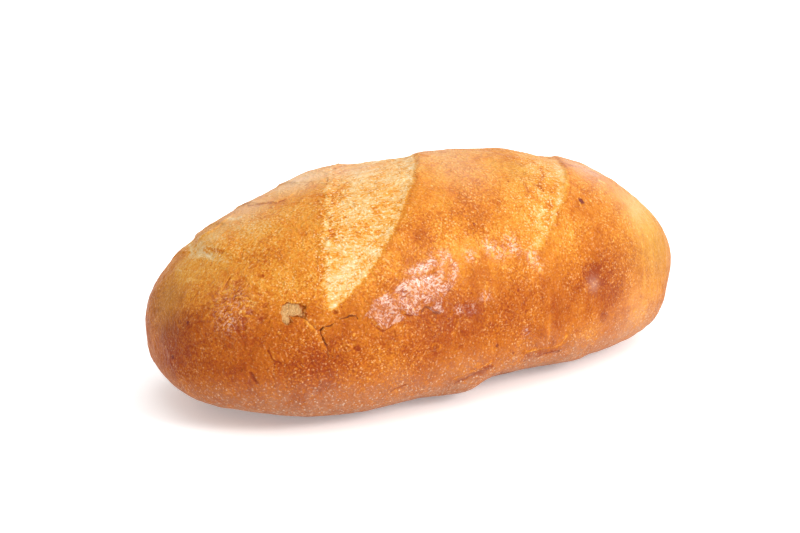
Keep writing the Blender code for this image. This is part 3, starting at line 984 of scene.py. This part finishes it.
def raise_relief(piece):
    """Moves the skin's points along their normals."""
    mesh = piece.data
    points = points_of(mesh)
    moved = points + normals_of(mesh) * relief(points)[:, None]
    moved[:, 2] = np.maximum(moved[:, 2], 0)
    mesh.vertices.foreach_set("co", (moved * MM).ravel())
    mesh.update()


def keep_field(mesh, name, values):
    """Stores one number per point for the material to read."""
    field = mesh.attributes.new(name, "FLOAT", "POINT")
    field.data.foreach_set("value", np.asarray(values, np.float32))


def keep_fields(mesh):
    """Stores everything that the crust's material reads from the mesh."""
    points = points_of(mesh)
    for name, edge in opening_edges(points).items():
        keep_field(mesh, name + "_opening", edge)
    keep_field(mesh, "shiny_skin", shiny_cover(points, shiny_skin_edge(points)))
    # how near the cracks are, and how dark their painted shade is
    nearness, darkness = crack_fields(points)
    keep_field(mesh, "crack", nearness)
    keep_field(mesh, "crack_shade", darkness)
    keep_field(mesh, "opening_tone", opening_tone(points))
    keep_field(mesh, "broken_shine", np.minimum(patches(points, BROKEN_SHINE), 1))
    keep_field(mesh, "wrinkled", WRINKLED_EVERYWHERE + patches(points, WRINKLED))
    keep_field(mesh, "lost_flake", lost_flake_edge(points))
    keep_field(mesh, "browning", browning(points))
    keep_field(mesh, "floury", floury(points))
    # pale paint that stands for the sheen of the rims and the top
    keep_field(mesh, "painted_sheen", patches(points, PAINTED_SHEEN))
    keep_field(mesh, "tanned", patches(points, TANNED))


class Nodes:
    """Adds nodes to a material and links them."""

    def __init__(self, tree):
        self.tree = tree

    def add(self, kind, inputs=None, output=0, **settings):
        node = self.tree.nodes.new("ShaderNode" + kind)
        for name, value in settings.items():
            setattr(node, name, value)
        for key, value in (inputs or {}).items():
            if isinstance(value, bpy.types.NodeSocket):
                self.tree.links.new(value, node.inputs[key])
            else:
                node.inputs[key].default_value = value
        return node.outputs[output]

    def maths(self, operation, first, second=0.0, clamp=False):
        return self.add("Math", {0: first, 1: second}, operation=operation, use_clamp=clamp)

    def total(self, *values):
        result = values[0]
        for value in values[1:]:
            result = self.maths("ADD", result, value)
        return result

    def times(self, first, second):
        return self.maths("MULTIPLY", first, second)

    def most(self, *values):
        """The largest of the values."""
        result = values[0]
        for value in values[1:]:
            result = self.maths("MAXIMUM", result, value)
        return result

    def around(self, value):
        """The value less its middle, 0.5."""
        return self.maths("SUBTRACT", value, 0.5)

    def remap(self, value, low, high, to_low=0.0, to_high=1.0):
        inputs = {"Value": value, "From Min": low, "From Max": high, "To Min": to_low, "To Max": to_high}
        return self.add("MapRange", inputs, interpolation_type="SMOOTHSTEP")

    def field(self, name):
        return self.add("Attribute", output=2, attribute_name=name)

    def mix(self, factor, first, second):
        inputs = {0: factor, 6: first, 7: second}
        return self.add("Mix", inputs, output=2, data_type="RGBA", clamp_factor=True)

    def painted(self, under, cover, colour):
        """A colour with another one over it, as far as the cover says."""
        return self.mix(cover, under, (*colour, 1))

    def swayed(self, vector, size, reach):
        """The places moved by noise of the given wavelength, by half the reach on average."""
        stray = self.add("TexNoise", {"Vector": vector, "Scale": 1 / size}, output=1)
        stray = self.add("VectorMath", {0: stray, 3: reach}, operation="SCALE")
        return self.add("VectorMath", {0: vector, 1: stray}, operation="ADD")

    def grain(self, vector, size, detail=2.0, roughness=0.5):
        """Noise about 0.5, with the given wavelength in millimetres."""
        inputs = {"Vector": vector, "Scale": 1 / size, "Detail": detail, "Roughness": roughness}
        return self.add("TexNoise", inputs)

    def stretched(self, vector, scale, turn=(0.0, 0.0, 0.0)):
        inputs = {"Vector": vector, "Scale": scale, "Rotation": turn}
        return self.add("Mapping", inputs, vector_type="TEXTURE")

    def specks(self, vector, spacing, radius, spread=0.6):
        """Round specks of uneven size: 1 in the middle of each, 0 outside."""
        cell = self.add("TexVoronoi", {"Vector": vector, "Scale": 1 / spacing})
        size = self.add("SeparateColor", {0: cell.node.outputs["Color"]})
        reach = self.remap(size, 1 - spread, 1.0, 0.0, radius / spacing)
        return self.remap(cell, reach, self.times(reach, 0.45))

    def spot(self, vector, centre, radius):
        """1 inside a round spot with a soft edge, 0 outside, on places that wobble by SPOT_WOBBLE."""
        centre = tuple(side + SPOT_WOBBLE / 2 for side in centre)
        gap = self.add("VectorMath", {0: vector, 1: centre}, output=1, operation="DISTANCE")
        return self.remap(gap, radius * 1.15, radius * 0.5)


def ramp(nodes, value, stops):
    """A colour ramp through the given stops."""
    output = nodes.add("ValToRGB", {0: value})
    elements = output.node.color_ramp.elements
    while len(elements) < len(stops):
        elements.new(0.5)
    for element, (place, colour) in zip(elements, stops):
        element.position = place
        element.color = (*colour, 1)
    return output


class CrustPatterns:
    """The patterns that the crust's browning, colour, shine and bumps share, as nodes of its material."""

    def __init__(self, nodes):
        place = nodes.add("VectorMath", {0: nodes.add("TexCoord", output=3), 3: 1 / MM}, operation="SCALE")
        self.place = place
        self.bent = nodes.swayed(place, 11, 9.0)
        self.wobbly_place = nodes.swayed(place, 1.25, SPOT_WOBBLE)
        self.coarse = nodes.grain(place, 13, 3, 0.55)
        self.middle = nodes.grain(place, 4.2, 3, 0.6)
        self.fine = nodes.grain(place, 0.95, 2, 0.6)
        self.grain_strength = nodes.remap(nodes.grain(place, 22, 1, 0.5), 0.35, 0.65, 0.6, 1.2)
        self.blotches = nodes.remap(nodes.grain(place, 6.5, 2, 0.5), 0.50, 0.68)
        self.stray = nodes.times(nodes.around(self.middle), 3.0)
        self.crack_line = nodes.remap(
            nodes.total(nodes.field("crack"), nodes.times(self.stray, 0.15)), 0.0, 0.55
        )
        self.flake = nodes.field("lost_flake")
        self.add_openings(nodes)
        self.add_specks(nodes)
        self.add_wrinkles(nodes)
        self.add_thin_skin(nodes)

    def add_openings(self, nodes):
        """Where the dough of the scored openings is stretched, and the strands that it tears into."""
        swayed = nodes.swayed(self.place, 14, 5.0)
        along_loaf = (0, 0.12, 0)
        self.strands = nodes.grain(nodes.stretched(swayed, (4.0, 1.0, 1.0), along_loaf), 0.8, 2, 0.55)
        self.long_strands = nodes.grain(nodes.stretched(swayed, (3.0, 1.0, 1.0), along_loaf), 3.6, 2, 0.5)
        in_big = nodes.remap(nodes.total(nodes.field("big_opening"), self.stray), -1.2, 1.4)
        in_second = nodes.remap(nodes.total(nodes.field("second_opening"), self.stray), -1.5, 2.5)
        in_left = nodes.remap(nodes.total(nodes.field("left_opening"), self.stray), -1.0, 2.0)
        self.stretched = nodes.most(in_big, in_second, in_left)
        self.streaky = nodes.most(in_big, nodes.times(self.stretched, 0.6))

    def add_specks(self, nodes):
        """Blisters, small pale dots and dashes, pores and red specks."""
        self.blisters = nodes.specks(self.place, 6.0, 1.05)
        self.dots = nodes.specks(nodes.stretched(self.place, (1, 1, 1), (0.9, 0.1, 0.3)), 1.5, 0.62, 0.8)
        short_lines = nodes.grain(nodes.stretched(self.bent, (1.4, 1, 1), (0.2, 0.3, 0.1)), 0.95, 1, 0.6)
        self.dashes = nodes.remap(short_lines, 0.55, 0.74, 0, 0.8)
        self.pale_dots = nodes.most(self.dots, self.dashes)
        turned = nodes.stretched(self.place, (1, 1, 1), (0.4, 0.2, 0.7))
        self.pores = nodes.specks(turned, 4.4, 0.62, 0.5)
        self.red_specks = nodes.specks(turned, 11, 1.1, 0.4)

    def add_wrinkles(self, nodes):
        """Creases all over, and the long wrinkles of the left side."""
        folded = {
            "Vector": self.bent, "Scale": 1 / 3.4, "Detail": 3.0, "Roughness": 0.55, "Lacunarity": 2.2,
            "Offset": 0.9, "Gain": 2.0,
        }
        self.creases = nodes.add("TexNoise", folded, noise_type="RIDGED_MULTIFRACTAL", normalize=True)
        tilted = nodes.stretched(self.bent, (3.2, 3.2, 0.9), (0, 0.15, 0))
        self.long_wrinkles = nodes.grain(tilted, 1.1, 2, 0.6)
        self.in_wrinkles = nodes.remap(nodes.field("wrinkled"), 0.3, 1.0)

    def add_thin_skin(self, nodes):
        """The thin shiny skin, the broken flecks of it, and the crinkles that cross on both."""
        self.shiny = nodes.field("shiny_skin")
        self.crinkled = nodes.most(self.shiny, nodes.field("broken_shine"))
        falling = nodes.grain(nodes.stretched(self.bent, (1.0, 1.0, 2.6), (0, 0.75, 0)), 0.95, 2, 0.6)
        crossing = nodes.grain(nodes.stretched(self.bent, (2.8, 1.0, 1.0), (0, 0.45, 0)), 0.95, 2, 0.6)
        self.crinkles = nodes.total(falling, crossing)


def browning_level(nodes, seen):
    """How browned the crust looks at each place, from 0 for pale dough to 1 for dark brown."""
    grain_tone = nodes.times(nodes.times(nodes.around(seen.fine), 0.72), seen.grain_strength)
    crease_tone = nodes.times(nodes.field("wrinkled"), -0.14)
    wrinkle_tone = nodes.remap(seen.long_wrinkles, 0.40, 0.66, 0.09, -0.12)
    level = nodes.total(
        nodes.field("browning"),
        nodes.times(nodes.around(seen.coarse), 0.28),
        nodes.times(nodes.around(seen.middle), 0.20),
        grain_tone,
        nodes.times(seen.blotches, 0.06),
        nodes.times(nodes.remap(seen.creases, 0.45, 0.8), crease_tone),
        nodes.times(wrinkle_tone, seen.in_wrinkles),
        nodes.times(seen.crinkled, 0.16),
        nodes.times(nodes.field("opening_tone"), seen.stretched),
        nodes.times(nodes.times(nodes.around(seen.strands), 0.85), seen.streaky),
        nodes.times(nodes.times(nodes.around(seen.long_strands), 0.6), seen.streaky),
        nodes.times(nodes.times(seen.pale_dots, seen.stretched), -0.08),
        nodes.times(seen.blisters, -0.26),
        # paler on the pale dots, partly pale blisters and partly painted glints
        nodes.times(nodes.times(seen.pale_dots, seen.grain_strength), -0.12),
        nodes.times(seen.pores, 0.34),
        nodes.times(seen.red_specks, 0.25),
        # browner along the cracks, part of their painted shade
        nodes.times(seen.crack_line, 0.20),
        0.05,
    )
    halo = nodes.times(nodes.remap(nodes.field("crack"), -2.6, -0.4), nodes.field("crack_shade"))
    level = nodes.total(level, nodes.times(halo, -0.07))
    for spot, radius, change in RED_SPOTS.values():
        cover = nodes.spot(seen.wobbly_place, spot, radius)
        level = nodes.total(level, nodes.times(cover, change))
    return level


def baked_colour(nodes, seen, settings):
    """The crust's colour from its browning, with pale dots, partly painted glints, and painted highlight on
    the thin skin's ridges.
    """
    level = browning_level(nodes, seen)
    colour = ramp(nodes, level, [
        (0.00, settings.dough_colour),
        (0.20, settings.cream_colour),
        (0.40, settings.golden_colour),
        (0.55, settings.amber_colour),
        (0.70, settings.orange_colour),
        (0.85, settings.brown_colour),
        (1.00, settings.dark_colour),
    ])
    # The pale dots are partly the crust's own pale blisters and partly painted glints of the light on them
    fading = nodes.remap(level, 0.60, 0.90, 0.28, 0.12)
    dotted = nodes.times(nodes.times(seen.pale_dots, seen.grain_strength), fading)
    colour = nodes.painted(colour, dotted, settings.dot_and_glint_colour)
    specked = nodes.times(nodes.times(seen.pale_dots, seen.stretched), 0.38)
    colour = nodes.painted(colour, specked, settings.speck_colour)
    # Painted highlight: the ridges of the thin shiny skin and its flecks are painted pale pink, standing
    # for glints of the light on them
    crests = nodes.total(seen.crinkles, nodes.times(seen.crinkled, 0.18))
    painted_ridge_highlight = nodes.times(nodes.remap(crests, 1.05, 1.27, 0.0, 0.55), nodes.remap(seen.crinkled, 0.0, 0.9))
    return nodes.painted(colour, painted_ridge_highlight, settings.thin_skin_highlight_colour)


def dressed_colour(nodes, seen, settings, colour):
    """The colour with flour, tan, painted sheen, the crumb under the lost flake with painted shade at its
    rim, painted shade in the cracks, and spots on it.
    """
    grains = nodes.total(seen.middle, seen.fine, nodes.times(seen.dots, 0.5))
    flour = nodes.times(nodes.field("floury"), nodes.remap(grains, 0.70, 1.40, 0.25, 1.0))
    colour = nodes.painted(colour, flour, settings.floury_colour)
    flour_specks = nodes.times(flour, nodes.times(seen.pale_dots, 0.6))
    colour = nodes.painted(colour, flour_specks, settings.flour_specks_colour)
    colour = nodes.painted(colour, nodes.field("tanned"), settings.tan_colour)
    # Painted sheen: pale paint on the rims and the top, standing for the sheen of the white surroundings at
    # grazing angles
    uneven = nodes.remap(nodes.total(seen.middle, seen.fine), 0.7, 1.3, 0.6, 1.2)
    colour = nodes.painted(colour, nodes.times(nodes.field("painted_sheen"), uneven), settings.sheen_paint_colour)

    crumb = nodes.mix(
        nodes.remap(seen.fine, 0.3, 0.7), (*settings.crumb_colour, 1), (*settings.crumb_shade, 1)
    )
    # Painted shade: the crumb is painted brown near the pit's rim, where its walls shade it
    rim = nodes.times(nodes.remap(seen.flake, 0.40, 0.10), nodes.remap(seen.middle, 0.40, 0.56, 0.2, 1.0))
    crumb = nodes.painted(crumb, rim, settings.brown_colour)
    colour = nodes.mix(nodes.remap(seen.flake, -0.08, 0.06), colour, crumb)

    # Painted shade in the cracks, and painted shadow under the folds and seams
    crack_shade_cover = nodes.times(seen.crack_line, nodes.remap(nodes.field("crack_shade"), 0.35, 0.7))
    colour = nodes.painted(colour, crack_shade_cover, settings.crack_shade_colour)
    for spot, radius, dark in SPOTS.values():
        cover = nodes.times(nodes.spot(seen.wobbly_place, spot, radius), dark)
        colour = nodes.painted(colour, cover, settings.spot_colour)
    return colour


def crust_shine(nodes, seen, settings):
    """How strongly the crust reflects: most on the thin skin and its flecks, a little on the pale dots."""
    flecks = nodes.grain(nodes.stretched(seen.place, (0.8, 1.0, 2.4), (0, 0.35, 0)), 1.9, 2, 0.6)
    flecks = nodes.times(nodes.remap(flecks, 0.47, 0.60), nodes.field("broken_shine"))
    shine = nodes.most(seen.shiny, flecks, nodes.times(seen.pale_dots, settings.glints))
    return nodes.total(nodes.times(shine, settings.shine), settings.plain_shine)


def crust_roughness(nodes, seen, settings):
    """Uneven roughness, higher where flour lies."""
    uneven = nodes.remap(seen.middle, 0.3, 0.7, settings.roughness - 0.06, settings.roughness + 0.08)
    return nodes.total(uneven, nodes.times(nodes.field("floury"), 0.2))


def crust_bumps(nodes, seen):
    """The relief that is finer than the mesh, in millimetres."""
    plain = nodes.total(
        nodes.times(seen.fine, 0.24),
        nodes.times(seen.middle, 0.40),
        nodes.times(seen.creases, 0.30),
        nodes.times(nodes.times(seen.long_wrinkles, seen.in_wrinkles), 0.5),
        nodes.times(seen.blisters, 0.16),
        nodes.times(seen.dots, 0.10),
        nodes.times(seen.dashes, 0.08),
        nodes.times(seen.pores, -0.12),
    )
    crumbly = nodes.times(nodes.total(seen.fine, seen.middle), nodes.remap(seen.flake, 0.0, 0.1))
    height = nodes.total(
        nodes.times(plain, nodes.remap(seen.crinkled, 0.1, 1.0, 1.0, 0.25)),
        nodes.times(nodes.times(seen.crinkles, seen.crinkled), 0.13),
        nodes.times(nodes.times(seen.strands, seen.streaky), 0.35),
        nodes.times(crumbly, 0.9),
    )
    return nodes.add("Bump", {"Strength": 1.0, "Distance": MM, "Height": height})


def crust_material(settings):
    """Baked crust: browning, blisters, pale stretched dough, thin shiny skin, flour and cracks."""
    material = bpy.data.materials.new("baked_crust")
    material.use_nodes = True
    shader = material.node_tree.nodes["Principled BSDF"]
    nodes = Nodes(material.node_tree)
    seen = CrustPatterns(nodes)
    colour = dressed_colour(nodes, seen, settings, baked_colour(nodes, seen, settings))
    bumps = crust_bumps(nodes, seen)

    links = material.node_tree.links
    links.new(colour, shader.inputs["Base Color"])
    links.new(crust_roughness(nodes, seen, settings), shader.inputs["Roughness"])
    links.new(bumps, shader.inputs["Normal"])
    links.new(crust_shine(nodes, seen, settings), shader.inputs["Coat Weight"])
    links.new(bumps, shader.inputs["Coat Normal"])
    shader.inputs["Coat Roughness"].default_value = settings.shiny_roughness
    for name, value in CRUST_FINISH.items():
        shader.inputs[name].default_value = value
    return material


def floor_material(settings):
    """Plain white sweep."""
    material = bpy.data.materials.new("white_sweep")
    material.use_nodes = True
    shader = material.node_tree.nodes["Principled BSDF"]
    shader.inputs["Base Color"].default_value = (*settings.floor_colour, 1)
    shader.inputs["Emission Color"].default_value = (*settings.floor_colour, 1)
    shader.inputs["Emission Strength"].default_value = settings.floor_glow
    for name, value in FLOOR_FINISH.items():
        shader.inputs[name].default_value = value
    return material


def lay_floor(settings):
    """A white floor, which belongs to the stage."""
    bpy.ops.object.select_all(action="DESELECT")
    bpy.ops.mesh.primitive_plane_add(size=settings.floor_size)
    floor = bpy.context.view_layer.objects.active
    floor.name = "floor"
    floor.data.materials.append(floor_material(settings))


def hang_lights(scene):
    """The soft lights, each at its direction from the loaf."""
    for name, (direction, strength, spread) in SOFT_LIGHTS.items():
        light = bpy.data.lights.new(name, "SUN")
        light.energy = strength
        light.angle = math.radians(spread)
        lamp = bpy.data.objects.new(name, light)
        towards = Vector(direction).normalized()
        lamp.location = towards
        lamp.rotation_mode = "QUATERNION"
        lamp.rotation_quaternion = towards.to_track_quat("Z", "Y")
        scene.collection.objects.link(lamp)


def light_surroundings(scene, settings):
    """White light all round, brighter towards the bright side."""
    world = bpy.data.worlds.new("white_surroundings")
    world.use_nodes = True
    background = world.node_tree.nodes["Background"]
    background.inputs["Color"].default_value = (1, 1, 1, 1)
    nodes = Nodes(world.node_tree)
    inputs = {0: nodes.add("TexCoord"), 1: BRIGHT_SIDE}
    towards_bright_side = nodes.add("VectorMath", inputs, output=1, operation="DOT_PRODUCT")
    strength = nodes.total(towards_bright_side, settings.surroundings)
    world.node_tree.links.new(strength, background.inputs["Strength"])
    scene.world = world
    scene.view_settings.view_transform = "Standard"


def place_camera(scene):
    """The camera, where the photographer stood."""
    lens = bpy.data.cameras.new("camera")
    lens.lens = CAMERA_LENS
    lens.sensor_width = CAMERA_SENSOR
    camera = bpy.data.objects.new("camera", lens)
    turn = math.radians(CAMERA_AZIMUTH)
    tilt = math.radians(CAMERA_ELEVATION)
    back = Vector((math.sin(turn) * math.cos(tilt), -math.cos(turn) * math.cos(tilt), math.sin(tilt)))
    camera.location = Vector(CAMERA_TARGET) + back * CAMERA_DISTANCE
    camera.rotation_mode = "QUATERNION"
    camera.rotation_quaternion = back.to_track_quat("Z", "Y")
    scene.collection.objects.link(camera)
    scene.camera = camera


def share_property(name, description, default):
    """A share from 0 to 1 that a user can change."""
    return bpy.props.FloatProperty(
        name=name, description=description, default=default, min=0, max=1, subtype="FACTOR"
    )


def colour_property(name, description, default):
    """A colour that a user can change."""
    return bpy.props.FloatVectorProperty(
        name=name, description=description, default=default, subtype="COLOR", min=0, max=1, size=3
    )


class CrustSettings(bpy.types.PropertyGroup):
    """Sizes and colours of the crust."""

    grid: bpy.props.FloatProperty(
        name="Grid", description="Distance between the points of the skin", default=0.95 * MM, min=0.0005,
        subtype="DISTANCE", unit="LENGTH",
    )
    smoothing: bpy.props.IntProperty(
        name="Smoothing", description="Rounds of smoothing that hide the solid's facets", default=50, min=0,
    )
    triangles: bpy.props.IntProperty(
        name="Triangles", description="Triangles kept in the finished skin", default=196000, min=1000,
    )
    roughness: share_property("Roughness", "Roughness of the plain crust", 0.5)
    shiny_roughness: share_property("Shiny skin roughness", "Roughness of the thin shiny skin", 0.20)
    shine: share_property("Shine", "How strong the thin shiny skin's reflection is", 0.9)
    plain_shine: share_property("Plain shine", "How strong the plain crust's reflection is", 0.03)
    glints: share_property("Glints", "How much shinier the small pale blisters are", 0.25)
    dough_colour: colour_property("Pale dough", "Least baked dough", (0.72, 0.56, 0.34))
    cream_colour: colour_property("Cream", "Lightly baked dough", (0.66, 0.42, 0.17))
    golden_colour: colour_property("Golden", "Golden crust", (0.63, 0.275, 0.037))
    amber_colour: colour_property("Amber", "Amber crust", (0.54, 0.177, 0.015))
    orange_colour: colour_property("Orange brown", "Well baked crust", (0.43, 0.112, 0.008))
    brown_colour: colour_property("Brown", "Browned crust", (0.325, 0.067, 0.005))
    dark_colour: colour_property("Dark brown", "Darkest crust", (0.24, 0.036, 0.005))
    # Pale blisters, partly painted glints
    dot_and_glint_colour: colour_property("Small blisters", "Small pale blisters of the crust", (0.75, 0.47, 0.23))
    speck_colour: colour_property("Specks", "White specks in the openings", (0.88, 0.74, 0.52))
    # Painted highlight on the ridges of the thin shiny skin
    thin_skin_highlight_colour: colour_property("Thin skin", "Ridges of the thin shiny skin", (0.81, 0.61, 0.505))
    floury_colour: colour_property("Floury crust", "Crust with flour on it", (0.385, 0.203, 0.120))
    flour_specks_colour: colour_property("Flour specks", "Specks of flour low down", (0.74, 0.54, 0.40))
    tan_colour: colour_property("Tan", "Duller tan crust at the two ends", (0.42, 0.285, 0.06))
    # Painted sheen of the rims and the top
    sheen_paint_colour: colour_property("Painted sheen", "Pale dusting, mostly on top", (0.73, 0.54, 0.41))
    crumb_colour: colour_property("Crumb", "Bread under the lost flake", (0.63, 0.37, 0.15))
    crumb_shade: colour_property("Crumb shade", "Darker places of that bread", (0.50, 0.25, 0.085))
    # Painted shade inside the cracks and under the folds
    crack_shade_colour: colour_property("Crack", "Inside of the cracks", (0.22, 0.055, 0.013))
    spot_colour: colour_property("Spot", "Dark purple-brown spots", (0.13, 0.013, 0.011))


class StudioSettings(bpy.types.PropertyGroup):
    """The floor, the lights and the camera."""

    floor_size: bpy.props.FloatProperty(
        name="Floor size", description="Side of the square floor", default=8, min=1, subtype="DISTANCE",
        unit="LENGTH",
    )
    floor_colour: colour_property("Floor", "Colour of the floor", (0.92, 0.92, 0.92))
    floor_glow: bpy.props.FloatProperty(
        name="Floor glow", description="Light that comes up through the floor of the light table",
        default=0.30, min=0,
    )
    surroundings: bpy.props.FloatProperty(
        name="Surroundings", description="Strength of the white light all round", default=0.87, min=0,
    )


class LOAF_OT_crust(bpy.types.Operator):
    """Build the browned skin of the loaf over the CAD solid"""

    bl_idname = "loaf.crust"
    bl_label = "Crust"
    bl_options = {"REGISTER", "UNDO"}

    def execute(self, context):
        settings = context.scene.loaf_crust
        skin = copy_of_node("loaf", "crust_skin")
        apply_modifier(skin, "REMESH", mode="VOXEL", voxel_size=settings.grid)
        apply_modifier(skin, "SMOOTH", factor=0.5, iterations=settings.smoothing)
        refine(skin, 1)
        raise_relief(skin)
        triangles = sum(len(face.vertices) - 2 for face in skin.data.polygons)
        if triangles > settings.triangles:
            apply_modifier(skin, "DECIMATE", ratio=settings.triangles / triangles)
        bpy.ops.object.shade_smooth()
        keep_fields(skin.data)
        skin.data.materials.clear()
        skin.data.materials.append(crust_material(settings))
        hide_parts("loaf")
        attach(skin, "root")
        return {"FINISHED"}


class LOAF_OT_studio(bpy.types.Operator):
    """Lay the white floor, and set the lights and the camera"""

    bl_idname = "loaf.studio"
    bl_label = "Studio"
    bl_options = {"REGISTER", "UNDO"}

    def execute(self, context):
        settings = context.scene.loaf_studio
        lay_floor(settings)
        hang_lights(context.scene)
        light_surroundings(context.scene, settings)
        place_camera(context.scene)
        return {"FINISHED"}


class LOAF_PT_panel(bpy.types.Panel):
    """The loaf's pieces, in the 3D view's sidebar"""

    bl_label = "Potato Bread Loaf"
    bl_idname = "LOAF_PT_panel"
    bl_space_type = "VIEW_3D"
    bl_region_type = "UI"
    bl_category = "Loaf"

    def draw(self, context):
        for settings, operator in (
            (context.scene.loaf_crust, LOAF_OT_crust),
            (context.scene.loaf_studio, LOAF_OT_studio),
        ):
            box = self.layout.box()
            for name in settings.__annotations__:
                box.prop(settings, name)
            box.operator(operator.bl_idname)


CLASSES = (CrustSettings, StudioSettings, LOAF_OT_crust, LOAF_OT_studio, LOAF_PT_panel)


def register():
    for each in CLASSES:
        bpy.utils.register_class(each)
    bpy.types.Scene.loaf_crust = bpy.props.PointerProperty(type=CrustSettings)
    bpy.types.Scene.loaf_studio = bpy.props.PointerProperty(type=StudioSettings)


def unregister():
    del bpy.types.Scene.loaf_crust
    del bpy.types.Scene.loaf_studio
    for each in reversed(CLASSES):
        bpy.utils.unregister_class(each)


def main():
    register()
    bpy.ops.loaf.crust()
    bpy.ops.loaf.studio()


if __name__ == "__main__":
    main()
